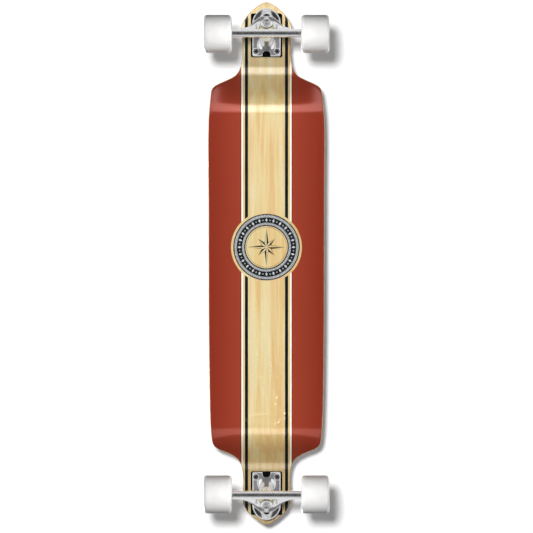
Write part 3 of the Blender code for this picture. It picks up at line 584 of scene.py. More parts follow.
def smooth_curve(points, per_span):
    """A Catmull-Rom curve through a list of 2-D points."""
    points = [np.array(p, float) for p in points]
    padded = [2 * points[0] - points[1], *points, 2 * points[-1] - points[-2]]
    curve = []
    for a, b, c, d in zip(padded, padded[1:], padded[2:], padded[3:]):
        for i in range(per_span):
            t = i / per_span
            curve.append(0.5 * (2 * b + (c - a) * t + (2 * a - 5 * b + 4 * c - d) * t**2
                                + (3 * b - a - 3 * c + d) * t**3))
    curve.append(points[-1])
    return [tuple(p) for p in curve]


def temporary(mesh, matrix=None):
    obj = bpy.data.objects.new(mesh.name, mesh)
    bpy.context.scene.collection.objects.link(obj)
    if matrix is not None:
        obj.matrix_world = matrix
    return obj


def baked(obj):
    """The object's mesh with its modifiers applied."""
    bpy.context.view_layer.update()
    graph = bpy.context.evaluated_depsgraph_get()
    return bpy.data.meshes.new_from_object(obj.evaluated_get(graph), depsgraph=graph)


def joined(meshes):
    """Several (mesh, matrix) pairs as one mesh."""
    bm = bmesh.new()
    for mesh, matrix in meshes:
        copy = mesh.copy()
        if matrix is not None:
            copy.transform(matrix)
        bm.from_mesh(copy)
        bpy.data.meshes.remove(copy)
    mesh = bpy.data.meshes.new("joined")
    bm.to_mesh(mesh)
    bm.free()
    return mesh


def cut(mesh, tools):
    """Cut (mesh, matrix) tools that don't cross out of a mesh, in one exact Boolean."""
    target = temporary(mesh)
    tool = temporary(joined(tools))
    modifier = target.modifiers.new("cut", "BOOLEAN")
    modifier.operation = "DIFFERENCE"
    modifier.solver = "EXACT"
    modifier.object = tool
    made = baked(target)
    for obj in (target, tool):
        bpy.data.objects.remove(obj)
    return made


def cast_from(name, meshes, voxel, rounds):
    """Fuse overlapping bodies and soften their edges, as in a casting."""
    obj = temporary(joined(meshes))
    remesh = obj.modifiers.new("fuse", "REMESH")
    remesh.mode = "VOXEL"
    remesh.voxel_size = voxel
    remesh.use_smooth_shade = True
    soften = obj.modifiers.new("soften", "SMOOTH")
    soften.factor = 0.5
    soften.iterations = rounds
    made = baked(obj)
    bpy.data.objects.remove(obj)
    made.name = name
    return made


def add_piece(name, mesh, body, slot, nodes=(), matrix=None):
    """Put a finished mesh in the scene, riding on its body and standing for its CAD nodes."""
    obj = bpy.data.objects.new(name, mesh)
    bpy.context.scene.collection.objects.link(obj)
    mesh.name = name
    if matrix is not None:
        obj.matrix_world = matrix
    if body:
        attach(obj, body)
    if nodes:
        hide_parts(*nodes)
    return obj


def dressed(mesh, materials, choose=None, sharp=None):
    """Give a mesh its materials, and each face the one that choose(centre, normal) numbers."""
    mesh.materials.clear()
    for material in materials:
        mesh.materials.append(material)
    if choose:
        for polygon in mesh.polygons:
            polygon.material_index = choose(polygon.center, polygon.normal)
    if sharp:
        mesh.shade_smooth()
        mesh.set_sharp_from_angle(angle=math.radians(sharp))
    return mesh


def on_nylon(way, height, radius):
    """A test for the faces of the nylon ring at the end of a lock nut."""
    return lambda centre, normal: int(way * normal.z > 0.5 and way * centre.z > height
                                      and math.hypot(centre.x, centre.y) < radius)


# ------------------------------------------------------------ deck


def cad_outline():
    """Half width of the CAD deck at each of its cross-sections, from tail to nose."""
    widths = {}
    for vertex in frame["nodes"]["deck"].data.vertices:
        x = round(vertex.co.x, 4)
        widths[x] = max(widths.get(x, 0.0), abs(vertex.co.y))
    bolt_holes, tip = 0.030, 0.486  # the holes' points are narrower than the deck beside them
    return [(x, y) for x, y in sorted(widths.items()) if y > bolt_holes or abs(x) > tip]


OUTLINE = cad_outline()


def curve_half_width(x):
    """Half width on a smooth curve through the CAD deck's cross-sections."""
    at = next((i for i in range(len(OUTLINE) - 1) if x <= OUTLINE[i + 1][0]), len(OUTLINE) - 2)
    (x0, y0), (x1, y1) = OUTLINE[at], OUTLINE[at + 1]

    def rise(i):
        return (OUTLINE[i + 1][1] - OUTLINE[i][1]) / (OUTLINE[i + 1][0] - OUTLINE[i][0])

    def slope(i):
        before, after = rise(max(i - 1, 0)), rise(min(i, len(OUTLINE) - 2))
        return 0.0 if before * after <= 0 else 2 * before * after / (before + after)

    length = x1 - x0
    t = (x - x0) / length
    return ((2 * t**3 - 3 * t**2 + 1) * y0 + (t**3 - 2 * t**2 + t) * length * slope(at)
            + (3 * t**2 - 2 * t**3) * y1 + (t**3 - t**2) * length * slope(at + 1))


def half_width(x):
    """Half width of the deck, down to nothing at its rounded tips."""
    start = DECK_HIGH.x - TIP_ROUND
    if abs(x) <= start:
        return curve_half_width(x)
    rounding = math.sqrt(max(DECK_HIGH.x - abs(x), 0) / TIP_ROUND)
    return curve_half_width(math.copysign(start, x)) * rounding


def rounded_step(distance):
    """How far past a bend a place is, with the bend itself rounded."""
    if distance <= -BEND_ROUND:
        return 0.0
    if distance >= BEND_ROUND:
        return distance
    return (distance + BEND_ROUND) ** 2 / (4 * BEND_ROUND)


def deck_bottom(x, y):
    """Height of the deck's underside."""
    low, high = NOSE_BENDS if x > 0 else TAIL_BENDS
    climbed = (rounded_step(abs(x) - low) - rounded_step(abs(x) - high)) / (high - low)
    side = max(abs(y) - DECK_FLAT, 0.0) / (DECK_HALF_WIDTH - DECK_FLAT)
    return PAD_BOTTOM - DECK_DROP * (1 - climbed) + DECK_CONCAVE * (1 - climbed) * side**1.7


def deck_stations():
    """Places along the deck: even, and closer together at each bend and towards each tip."""
    reach = DECK_HIGH.x
    places = list(np.linspace(-reach + TIP_ZONE, reach - TIP_ZONE, DECK_ROWS))
    for way, bends in ((1, NOSE_BENDS), (-1, TAIL_BENDS)):
        places += [way * (reach - TIP_ZONE * (1 - math.sin(math.pi / 2 * i / TIP_ROWS)))
                   for i in range(1, TIP_ROWS + 1)]
        for bend in bends:
            places += [way * x for x in np.linspace(bend - BEND_ROUND, bend + BEND_ROUND, 9)]
    places = sorted(places)
    return [a for a, b in zip(places, places[1:] + [1.0]) if b - a > LEAST_STEP]


def slab(name, inset, lift, thickness, edge, edge_steps=5):
    """A sheet that follows the deck, stopping inset short of its outline, with rounded edges.

    A vertex attribute, ply, runs from 0 at its underside to 1 at its top.
    """
    reach = DECK_HIGH.x
    loops, plies = [], []
    shares = [i / HALF_ROW for i in range(HALF_ROW + 1)]
    for x in deck_stations():
        half = half_width(x)
        behind, ahead = max(x - SLOPE_STEP, -reach), min(x + SLOPE_STEP, reach)
        if abs(x) >= reach:
            normal = Vector((math.copysign(1, x), 0))
        else:
            slope = (half_width(ahead) - half_width(behind)) / (ahead - behind)
            normal = Vector((-slope, 1)).normalized()

        def edge_point(inward, height):
            px, py = x - normal.x * inward, max(half - normal.y * inward, 0.0)
            return px, py, height

        corner = [(edge * (1 - math.sin(a)), edge * (1 - math.cos(a)))
                  for a in np.linspace(0, math.pi / 2, edge_steps + 1)]
        side = [edge_point(inset + inward, rise) for inward, rise in corner]
        side += [edge_point(inset + inward, thickness - rise) for inward, rise in reversed(corner)]
        (inner_x, inner_y, _) = side[0]
        tip = max(1 - inner_y / TIP_HALF, 0.0)
        row = [(x + (inner_x - x) * (share**2 + (1 - share**2) * tip), inner_y * share, 0.0)
               for share in shares]
        low = [(px, -py, h) for px, py, h in row[::-1]] + row[1:]
        high = [(px, py, thickness) for px, py, _ in low[::-1]]
        loop = low + side[1:-1] + high + [(px, -py, h) for px, py, h in side[-2:0:-1]]
        loops.append([(px, py, deck_bottom(px, py) + lift + h) for px, py, h in loop])
        plies.append([h / thickness for _, _, h in loop])
    points, faces = loft(loops, caps=False)
    mesh = bpy.data.meshes.new(name)
    mesh.from_pydata(points, [], faces)
    ply = mesh.attributes.new("ply", "FLOAT", "POINT")
    ply.data.foreach_set("value", [value for row in plies for value in row])
    tidy(mesh, 40)
    return mesh


def bolt_places():
    """Name, x and y of every mounting bolt."""
    for end, way in ENDS:
        axle_x = JOINTS[f"{end}_left_wheel_spin"]["pos_m"][0]
        number = 0
        for along in BOLT_ALONG:
            for side in (1, -1):
                number += 1
                yield end, number, axle_x + way * along, side * BOLT_SIDE


def build_deck():
    """The board with its countersunk holes, and the grip sheet with windows for the bolts."""
    countersink = turned("countersink", (
        (PAD_BOTTOM - 0.003, BOLT_RADIUS + GAP), (GRIP_TOP - 0.0033, BOLT_RADIUS + GAP),
        (GRIP_TOP + 0.0010, BOLT_HEAD + 0.0009)), 40)
    window = turned("window", ((GRIP_TOP - 0.004, BOLT_HEAD + GAP),
                               (GRIP_TOP + 0.002, BOLT_HEAD + GAP)), 40)
    places = [Matrix.Translation((x, y, 0)) for _, _, x, y in bolt_places()]

    board = dressed(cut(slab("board", 0.0, 0.0, DECK_THICKNESS, DECK_EDGE),
                        [(countersink, place) for place in places]), (PAINTED, PLY), sharp=40)
    ply = board.attributes["ply"].data
    for polygon in board.polygons:
        share = sum(ply[v].value for v in polygon.vertices) / len(polygon.vertices)
        polygon.material_index = 0 if share < 0.2 and polygon.normal.z < -0.72 else 1
    deck = add_piece("deck_board", board, ROOT, "maple", ("deck",))

    grip = dressed(cut(slab("grip", DECK_EDGE, DECK_THICKNESS + GAP, 0.001, 0.0003, 2),
                       [(window, place) for place in places]), (GRIP,), sharp=40)
    return deck, add_piece("grip_sheet", grip, ROOT, "grip_grit", ("grip_tape",))


# ------------------------------------------------------------ emblem


def printed_patch(curves, depth, closed):
    """A thin closed patch through flat curves, lying on the deck's underside."""
    n, rows = len(curves[0]), len(curves)
    size = n * rows
    points = []
    for sink in (0.00003, depth):
        for curve in curves:
            points += [(EMBLEM_X + x, y, deck_bottom(EMBLEM_X + x, y) - sink) for x, y in curve]
    steps = n if closed else n - 1
    faces = []
    for i in range(steps):
        j = (i + 1) % n
        for row in range(rows - 1):
            a, b = row * n, (row + 1) * n
            faces.append((a + i, a + j, b + j, b + i))
            faces.append((size + a + i, size + b + i, size + b + j, size + a + j))
        for row, way in ((0, 1), (rows - 1, -1)):
            a = row * n
            faces.append((a + i, size + a + i, size + a + j, a + j)[::way])
    if not closed:
        for i, way in ((0, 1), (n - 1, -1)):
            for row in range(rows - 1):
                a, b = row * n + i, (row + 1) * n + i
                faces.append((a, b, size + b, size + a)[::way])
    return points, faces


def ring_curve(radius, steps, start=0.0, end=2 * math.pi, closed=True):
    count = steps if closed else steps + 1
    return [(radius * math.cos(start + (end - start) * i / steps),
             radius * math.sin(start + (end - start) * i / steps)) for i in range(count)]


def annulus(inner, outer, width=0.003, steps=144):
    """Concentric curves that fill a ring finely enough to follow the deck's curve."""
    count = max(round((outer - inner) / width), 1)
    return [ring_curve(inner + (outer - inner) * i / count, steps) for i in range(count + 1)]


def slanted_strokes(inner, outer, count):
    """Short slanted strokes round a ring, half as wide as their spacing."""
    pitch = 2 * math.pi / count
    for i in range(count):
        start, lean, width = i * pitch, pitch * 0.9, pitch * 0.42
        yield [ring_curve(inner, 1, start, start + width, closed=False),
               ring_curve(outer, 1, start + lean, start + lean + width, closed=False)]


def between_points(a, b, share):
    return a[0] + (b[0] - a[0]) * share, a[1] + (b[1] - a[1]) * share


def star_points(long_reach, short_reach, waist):
    """A compass star: each of its eight points is filled on one side and outlined on the other."""
    steps = 12
    for i in range(8):
        reach = long_reach if i % 2 == 0 else short_reach
        angle = math.pi / 4 * i
        tip = (reach * math.cos(angle), reach * math.sin(angle))
        for side in (1, -1):
            valley = angle + side * math.pi / 8
            corner = (waist * math.cos(valley), waist * math.sin(valley))
            start = 0.04 if side > 0 else 0.80  # an outline keeps to the outer edge
            middle, edge = [], []
            for k in range(steps + 1):
                share = 0.02 + 0.96 * k / steps
                axis = (tip[0] * share, tip[1] * share)
                rim = between_points(corner, tip, share)
                middle.append(between_points(axis, rim, start))
                edge.append(rim)
            yield [middle, edge]


def band_ornament():
    """Diamonds and dots by turns, round the black ring."""
    middle = (EMBLEM_HATCHES[0][1] + EMBLEM_HATCHES[1][0]) / 2
    for i in range(EMBLEM_BAND):
        angle = 2 * math.pi * i / EMBLEM_BAND
        along, out, steps = (0.0021, 0.0037, 4) if i % 2 == 0 else (0.0011, 0.0011, 12)
        radial = Vector((math.cos(angle), math.sin(angle)))
        tangent = Vector((-math.sin(angle), math.cos(angle)))
        curves = []
        for share in (0.1, 1.0):
            curves.append([tuple(radial * (middle + out * share * math.cos(2 * math.pi * k / steps))
                                 + tangent * along * share * math.sin(2 * math.pi * k / steps))
                           for k in range(steps)])
        yield curves


def build_emblem():
    """A printed roundel: maple ground, black ring with hatched bands, and a compass star."""
    ground, black, silver = range(3)  # places in the mesh's list of materials
    layers = [(annulus(0.0004, EMBLEM_RADIUS), 0.00010, ground, True),
              (annulus(*EMBLEM_RING), 0.00014, black, True),
              (annulus(*EMBLEM_LINE), 0.00013, black, True)]
    for inner, outer, count in EMBLEM_HATCHES:
        layers.append((annulus(inner, outer), 0.00018, silver, True))
        layers += [(stroke, 0.00022, black, False)
                   for stroke in slanted_strokes(inner, outer, count)]
    layers += [(shape, 0.00018, silver, True) for shape in band_ornament()]
    layers += [(shape, 0.00014, black, False) for shape in star_points(*EMBLEM_STAR)]
    points, faces, slots = [], [], []
    for curves, depth, slot, closed in layers:
        made_points, made_faces = printed_patch(curves, depth, closed)
        faces += [tuple(i + len(points) for i in face) for face in made_faces]
        slots += [slot] * len(made_faces)
        points += made_points
    mesh = bpy.data.meshes.new("emblem")
    mesh.from_pydata(points, [], faces)
    dressed(mesh, (MAPLE, BLACK_INK, SILVER_INK))
    mesh.polygons.foreach_set("material_index", slots)
    bm = bmesh.new()
    bm.from_mesh(mesh)
    bmesh.ops.recalc_face_normals(bm, faces=bm.faces)
    bm.to_mesh(mesh)
    bm.free()
    mesh.shade_smooth()
    mesh.set_sharp_from_angle(angle=math.radians(30))
    return add_piece("deck_emblem", mesh, ROOT, "maple")


# ------------------------------------------------------------ mounting bolts and nuts


def build_fasteners():
    """Countersunk bolts with hexagon sockets, and lock nuts with a nylon ring."""
    bottom = GRIP_TOP - BOLT_LENGTH
    flats, socket, any_cap = 0.00475, 0.0016, 1
    bolt = dressed(turned("bolt", [
        (bottom, BOLT_RADIUS - 0.0006), (bottom + 0.0004, BOLT_RADIUS - 0.0003),
        *threaded(bottom + 0.0005, bottom + 0.012, BOLT_RADIUS, 0.0008, 0.0004),
        *shifted(GRIP_TOP, (-0.0030, BOLT_RADIUS), (-0.0005, BOLT_HEAD), (-0.0001, BOLT_HEAD),
                 (0.0, BOLT_HEAD - 0.0002), (0.0, (socket, any_cap)),
                 (-0.0018, (socket, any_cap)))], 36), (OXIDE,))
    top = RISER_BOTTOM - GAP - TRUCK_HEIGHT + BOSS_FACE - GAP
    nut = dressed(turned("nut", shifted(
        top, (0.0, 0.0027), (0.0, 0.0046), (0.0005, (flats, 0.00508)), (0.0008, (flats, any_cap)),
        (0.0031, (flats, any_cap)), (0.0035, (flats, 0.0050)), (0.0037, 0.0045),
        (0.0046, 0.0042), (0.0050, 0.0037), (0.0050, 0.0034), (0.0047, 0.0033),
        (0.0047, 0.0027), way=-1), 48, hollow=True), (OXIDE, NYLON),
        on_nylon(-1, 0.0045 - top, 0.0034))
    for end, number, x, y in bolt_places():
        for name, mesh in (("bolt", bolt), ("nut", nut)):
            add_piece(f"{end}_{name}_{number}", mesh.copy(), ROOT, "black_steel",
                      (f"{end}_mounting_{name}_{number}",), Matrix.Translation((x, y, 0)))


# ------------------------------------------------------------ truck frames


def truck_matrix(end, way):
    """The truck's own frame: origin at the axle's middle, X outboard, Z up."""
    x, _, z = JOINTS[f"{end}_left_wheel_spin"]["pos_m"]
    return Matrix.Translation((x, 0, z)) @ Matrix.Rotation(0 if way > 0 else math.pi, 4, "Z")


PIVOT_IN_TRUCK = (Matrix.Translation((RING_U, 0, RING_W))
                  @ Matrix.Rotation(-PIVOT_ANGLE, 4, "Y"))
ALONG_PIVOT = Matrix.Rotation(-math.pi / 2, 4, "Y")  # turns Z to run down the pivot axis
ACROSS_TRUCK = Matrix.Rotation(math.pi / 2, 4, "X")  # turns Z to run along the axle


def pivot_point(along, up):
    """A point of the pivot frame's X and Z plane, in the truck frame."""
    cos, sin = math.cos(PIVOT_ANGLE), math.sin(PIVOT_ANGLE)
    return (RING_U + along * cos - up * sin, RING_W + along * sin + up * cos)


# ------------------------------------------------------------ base plate and riser


# Flat shapes of the base plate, in the truck frame's X and Y.
PLATE_POWER = 1.08  # how blunt its outboard point is
PLATE_NOTCH = ((0, 0.0082), (0.0060, 0.0074), (0.0088, 0.0060), (0.0098, 0.0040))
PLATE_BAND = ((0.0200, -0.0105), (0.0200, 0.0105), (0.0360, 0.0096), (0.0485, 0.0056),
              (0.0500, 0.0), (0.0485, -0.0056), (0.0360, -0.0096))
PLATE_RIBS = (  # path, width, and the height of its foot over the plate's lowest face
    (((-0.0060, 0.0105), (-0.0130, 0.0152), (-0.0216, 0.0174), (-0.0283, 0.0160)),
     0.0026, -0.0008),
    (((0.0040, 0.0080), (0.0110, 0.0130), (0.0160, 0.0170)), 0.0032, -0.0016),
    (((0.0240, 0.0118), (0.0350, 0.0100), (0.0480, 0.0062)), 0.0020, 0.0004))
SUNK = 0.001  # how far the ribs and bosses end short of the plate's top
SPINE = ((-0.0120, 0.0036), (-0.0175, 0.0036), (-0.0215, 0.0045), (-0.0308, 0.0099),
         (-0.0355, 0.0128), (-0.0412, 0.0132), (-0.0412, 0.0092), (-0.0366, 0.0080),
         (-0.0338, 0.0066), (-0.0325, 0.0044))
POCKET = ((-0.0109, 0.0110), (-0.0172, 0.0040), (-0.0211, 0.0048), (-0.0300, 0.0102),
          (-0.0276, 0.0142), (-0.0216, 0.0160), (-0.0140, 0.0140))


def inside(point, outline):
    """Whether a flat point lies within an outline."""
    x, y = point
    crossed = False
    for (x0, y0), (x1, y1) in zip(outline, (*outline[1:], outline[0])):
        if (y0 > y) != (y1 > y) and x < x0 + (y - y0) / (y1 - y0) * (x1 - x0):
            crossed = not crossed
    return crossed


def plate_outline(inset=0.0, steps=40):
    """The base plate from below: square and notched inboard, a blunt point outboard."""
    half = PLATE_HALF - inset
    low = PLATE_INBOARD + inset
    sides = arc((low + CORNER, -half + CORNER), CORNER, 180, 270, 6)
    for i in range(steps + 1):
        angle = -math.pi / 2 + math.pi * i / steps
        reach = abs(math.cos(angle)) ** PLATE_POWER * (PLATE_OUTBOARD - inset - PLATE_SHOULDER)
        across = abs(math.sin(angle)) ** PLATE_POWER * half
        sides.append((PLATE_SHOULDER + reach, math.copysign(across, angle)))
    sides += arc((low + CORNER, half - CORNER), CORNER, 90, 180, 6)
    notch = [(low + depth, across + inset * 0.8) for depth, across in PLATE_NOTCH]
    return sides + notch + [(x, -y) for x, y in reversed(notch)]


def strip(name, path, width, low, high):
    """A rib of even width along a flat path, given in X and Y."""
    path = [Vector(p) for p in path]
    left, right = [], []
    for i, point in enumerate(path):
        ahead = path[min(i + 1, len(path) - 1)] - path[max(i - 1, 0)]
        side = Vector((-ahead.y, ahead.x)).normalized() * width / 2
        left.append(tuple(point + side))
        right.append(tuple(point - side))
    return prism(name, left + right[::-1], low, high)


def plate_bodies(low, top, mouth):
    """The bodies that fuse into the base plate's casting, each with its place."""
    rim, inner = plate_outline(), plate_outline(0.0024)

    def inwards(share):
        return [between_points(a, b, share) for a, b in zip(rim, inner)]

    # The web runs from the kingpin's seat back to the pivot boss and down to the plate.
    mouth_end = -CUP_START - CUP_FLANGE - 0.0010
    web = [
        (PLATE_INBOARD + 0.0100, top - SUNK), (PLATE_INBOARD + 0.0100, low - 0.001),
        pivot_point(-BOSS_END + 0.0012, 0.0040), pivot_point(-BOSS_END + 0.0030, -0.0040),
        pivot_point(mouth_end, 0.0040), pivot_point(mouth_end, BOSS_RADIUS - 0.001),
        pivot_point(-0.0158, BASE_SEAT), pivot_point(0.0100, BASE_SEAT + 0.0008),
        (0.0120, top - 0.004), (0.0120, top - SUNK)]
    bodies = [
        (prism("floor", plate_outline(0.0004), top - 0.0040, top), None),
        (stacked("rim", ((rim, top), (rim, low + 0.0006), (inwards(0.15), low),
                         (inwards(0.7), low), (inner, low + 0.0008), (inner, top)),
                 hollow=True), None),
        (mesh_from("web", *loft([[(x, y, z) for x, z in web] for y in (-0.0038, 0.0038)])), None),
        # The web's foot spreads from the boss to either side of the notch.
        (prism("spine", [(x, way * y) for way, run in ((1, SPINE), (-1, SPINE[::-1]))
                         for x, y in run], low - 0.0006, top - SUNK), None),
        (turned("seat", ((BASE_SEAT, 0.0120), (BASE_SEAT + 0.0012, 0.0132), (0.0355, 0.0132)), 48),
         PIVOT_IN_TRUCK),
        (turned("boss", ((mouth, BOSS_RADIUS - 0.0006), (mouth + 0.0008, BOSS_RADIUS),
                         (BOSS_END - 0.0024, BOSS_RADIUS), (BOSS_END, BOSS_RADIUS - 0.0022)), 48),
         PIVOT_IN_TRUCK @ ALONG_PIVOT)]
    pad = turned("pad", ((BOSS_FACE, 0.0060), (BOSS_FACE + 0.0008, 0.0066),
                         (top - 0.0008, 0.0070)), 32)
    for side in (1, -1):
        for path, width, bottom in PLATE_RIBS:
            path = smooth_curve([(x, side * y) for x, y in path], 6)
            bodies.append((strip("rib", path, width, low + bottom, top - SUNK), None))
        bodies += [(pad, Matrix.Translation((along, side * BOLT_SIDE, 0))) for along in BOLT_ALONG]
    bodies.append((prism("band", PLATE_BAND, low + 0.0016, top - SUNK), None))
    bodies.append((turned("bumper", ((top - 0.0102, 0.0104), (top - 0.0096, 0.0114),
                                     (top - 0.0070, 0.0124), (top - SUNK, 0.0128)), 48),
                   Matrix.Translation((0.0320, 0, 0))))
    return bodies


def baseplate_mesh():
    """The casting, in the truck frame."""
    top = TRUCK_HEIGHT
    low = top - PLATE_THICKNESS
    mouth = CUP_START + CUP_FLANGE + GAP
    bore, head = KINGPIN_RADIUS + GAP, KINGPIN_HEAD[0] - GAP
    cup, cup_end = NOSE_RADIUS + CUP_WALL + 2 * GAP, CUP_END + GAP
    bolt_bore = turned("bore", ((low - 0.006, 0.0060), (BOSS_FACE, 0.0060), (BOSS_FACE, 0.0027),
                                (top + 0.002, 0.0027)), 32)
    tools = [(bolt_bore, Matrix.Translation((along, side * BOLT_SIDE, 0)))
             for side in (1, -1) for along in BOLT_ALONG]
    tools += [
        (turned("well", ((top - 0.0125, 0.0078), (top - 0.0060, 0.0072), (top + 0.0020, 0.0068)),
                40), Matrix.Translation((0.0322, 0, 0))),
        (turned("kingpin_bore", ((BASE_SEAT - 0.004, bore), (head, bore), (head, 0.0093),
                                 (0.0465, 0.0093)), 40), PIVOT_IN_TRUCK),
        (turned("socket", ((mouth - 0.004, cup), (cup_end, cup), (cup_end, 0.0052),
                           (BOSS_END + 0.010, 0.0052)), 40), PIVOT_IN_TRUCK @ ALONG_PIVOT)]
    made = cut(cast_from("baseplate", plate_bodies(low, top, mouth), VOXEL, 4), tools)
    for vertex in made.vertices:
        vertex.co.z = min(vertex.co.z, top)
    bright, rough, grey_tone_and_shade, pale = range(4)  # places in the mesh's list of materials

    def choose(centre, normal):
        x, y = centre.x, abs(centre.y)
        if normal.z < -0.6 and centre.z > low + 0.0020 and inside((x, y), POCKET):
            return pale
        if x < -0.0105 and (y < 0.0040 or inside((x, y), SPINE + ((-0.0325, 0), (-0.0120, 0)))):
            return grey_tone_and_shade
        # Faces that face down from deep in the plate get darker copies of the casting: painted
        # shade in the recesses, on a rougher skin at the outboard flanks.
        if normal.z < -0.4 and centre.z > low + 0.0022:
            return rough if x > 0.0125 and y > 0.0105 else grey_tone_and_shade
        return bright
    return dressed(made, (CAST, ROUGH_CAST_PAINTED_SHADE, CAST_GREY, CAST_PALE), choose, 38)


def riser_mesh():
    """A rubber sheet with rounded corners and edges."""
    low, high, half = -0.0443, 0.0404, 0.0304
    bottom = TRUCK_HEIGHT + GAP
    top = bottom + 0.003
    ease = 0.0004

    def outline(inset):
        points = []
        for x, y, start in ((high - inset, 1, 0), (low + inset, 1, 90),
                            (low + inset, -1, 180), (high - inset, -1, 270)):
            centre = (x - math.copysign(CORNER, x), y * (half - inset - CORNER))
            points += arc(centre, CORNER, start, start + 90, 8)
        return points
    sheet = stacked("riser", ((outline(ease), bottom), (outline(0.0), bottom + ease),
                              (outline(0.0), top - ease), (outline(ease), top)))
    hole = turned("hole", ((bottom - 0.001, 0.0030), (bottom + 0.005, 0.0030)), 24)
    tools = [(hole, Matrix.Translation((along, side * BOLT_SIDE, 0)))
             for along in BOLT_ALONG for side in (1, -1)]
    return dressed(cut(sheet, tools), (RISER,), sharp=35)


# ------------------------------------------------------------ kingpin, bushings, washers, cup


def bushing_mesh(way):
    """A bushing on one side of the ring: widest at the ring, with a taper to its washer."""
    bore = KINGPIN_BORE + 0.0002
    start = RING_SEAT + GAP
    stop = start + BUSHING_LENGTH
    outline = [(start, bore), *shifted(
        start, (0.0, BUSHING_RADIUS - 0.0010), (0.0003, BUSHING_RADIUS - 0.0003),
        (0.0011, BUSHING_RADIUS), (0.0030, BUSHING_RADIUS), (0.0052, BUSHING_RADIUS - 0.0003)),
        *shifted(stop, (-0.0036, BUSHING_RADIUS - 0.0009), (-0.0020, 0.0121), (-0.0008, 0.0114),
                 (0.0, 0.0110), (0.0, bore))]
    wall = [(start + (stop - start) * i / 10, bore) for i in range(9, 0, -1)]
    flanks = []
    for (h0, r0), (h1, r1) in zip(outline, outline[1:]):
        parts = max(int(abs(h1 - h0) / 0.0012), 1)
        flanks += [(h0 + (h1 - h0) * i / parts, r0 + (r1 - r0) * i / parts) for i in range(parts)]
    rings = [*flanks, outline[-1], *wall]
    return dressed(turned("bushing", [(way * h, r) for h, r in rings], 72, hollow=True), (CREAM,))


def kingpin_pieces():
    """The pieces on the kingpin, in the pivot frame: name, slot and mesh."""
    bore = KINGPIN_BORE
    head_low, head_high = KINGPIN_HEAD
    tip, thread_end, any_cap = -KINGPIN_TIP, -0.0140, 1
    hexagonal = (KINGPIN_FLATS, any_cap)
    pin = dressed(turned("kingpin", [
        (tip, KINGPIN_RADIUS - 0.0014), (tip + 0.0010, KINGPIN_RADIUS - 0.0004),
        *threaded(tip + 0.0011, thread_end, KINGPIN_RADIUS, COARSE_PITCH, 0.0006),
        (head_low, KINGPIN_RADIUS), (head_low, 0.0069), (head_low + 0.0002, hexagonal),
        (head_high - 0.0008, hexagonal), (head_high - 0.0002, (KINGPIN_FLATS, 0.0074)),
        (head_high, 0.0066)], 48),
        (STEEL, THREAD), lambda c, n: int(tip + 0.0008 < c.z < thread_end))
    seat = RING_SEAT + GAP + BUSHING_LENGTH + GAP
    far = BASE_SEAT - GAP
    flat_washer = dressed(turned("washer", [
        (seat, bore), (seat, 0.0121), (seat + 0.0003, 0.0125), (far - 0.0003, 0.0125),
        (far, 0.0122), (far, bore)], 72, hollow=True), (BRIGHT,))
    rim = 0.0118  # the cupped washer's turned-up rim starts here; past it the steel is darker, painted shade
    cup_washer = dressed(turned("cup_washer", shifted(
        -seat, (0.0, bore), (0.0, 0.0112), (-0.0004, 0.0117), (-0.0009, 0.0120),
        (-0.0011, 0.0123), (-0.0009, 0.0126), (-0.0002, 0.0126), (0.0006, 0.0124),
        (0.0013, 0.0119), (0.0019, 0.0109), (0.0021, 0.0098), (0.0021, bore), way=-1),
        72, hollow=True), (BRIGHT, STEEL_PAINTED_SHADE), lambda c, n: int(math.hypot(c.x, c.y) > rim))
    nut = seat + 0.0021 + GAP
    lock_nut = dressed(turned("kingpin_nut", shifted(
        -nut, (0.0, bore), (0.0, 0.0070), (0.0005, (KINGPIN_FLATS, 0.0078)), (0.0009, hexagonal),
        (0.0060, hexagonal), (0.0067, (KINGPIN_FLATS, 0.0077)), (0.0070, 0.0071),
        (0.0074, 0.0066), (0.0090, 0.0064), (0.0097, 0.0060), (0.0098, 0.0056),
        (0.0095, 0.0053), (0.0095, bore), way=-1), 72, hollow=True),
        (STEEL, NYLON), on_nylon(-1, nut + 0.0093, 0.0056))
    return (("kingpin", "plated_steel", pin),
            ("cup_washer_board", "washer_steel", flat_washer),
            ("cup_washer_road", "washer_steel", cup_washer),
            ("kingpin_nut", "plated_steel", lock_nut),
            ("bushing_board", "cream_urethane", bushing_mesh(1)),
            ("bushing_road", "cream_urethane", bushing_mesh(-1)))


def pivot_cup_mesh():
    """The flanged cup between the hanger's nose and its boss, about the pivot axis."""
    outer = NOSE_RADIUS + CUP_WALL + 0.0002
    within = NOSE_RADIUS + 0.0002
    lip = BOSS_RADIUS - 0.0007
    floor = CUP_END - CUP_WALL
    return dressed(turned("pivot_cup", [
        (CUP_START + 0.0003, within), (CUP_START, within + 0.0004), (CUP_START, lip - 0.0004),
        (CUP_START + 0.0003, lip), (CUP_START + CUP_FLANGE, lip), (CUP_START + CUP_FLANGE, outer),
        (CUP_END - 0.0008, outer), (CUP_END, outer - 0.0010), (CUP_END, 0.0015),
        (floor, 0.0015), (floor, NOSE_RADIUS - 0.0010), (floor - 0.0022, within)],
        56, hollow=True), (PALE_CREAM,))


# ------------------------------------------------------------ hanger

WING_SECTION = (
    (-0.0186, -0.0140), (-0.0168, -0.0085), (-0.0156, -0.0055), (-0.0080, -0.0055),
    (0.0080, -0.0055), (0.0155, -0.0055), (0.0200, -0.0062), (0.0228, -0.0090),
    (0.0246, -0.0113), (0.0262, -0.0120), (0.0276, -0.0112), (0.0284, -0.0092),
    (0.0276, -0.0040), (0.0252, 0.0015), (0.0215, 0.0046), (0.0140, 0.0055),
    (-0.0080, 0.0055), (-0.0160, 0.0032), (-0.0230, -0.0040))
WING_FROM, WING_TO = -27, 93
HANGER_WING = 0.0560  # distance from the middle at which the wing has run into the bar

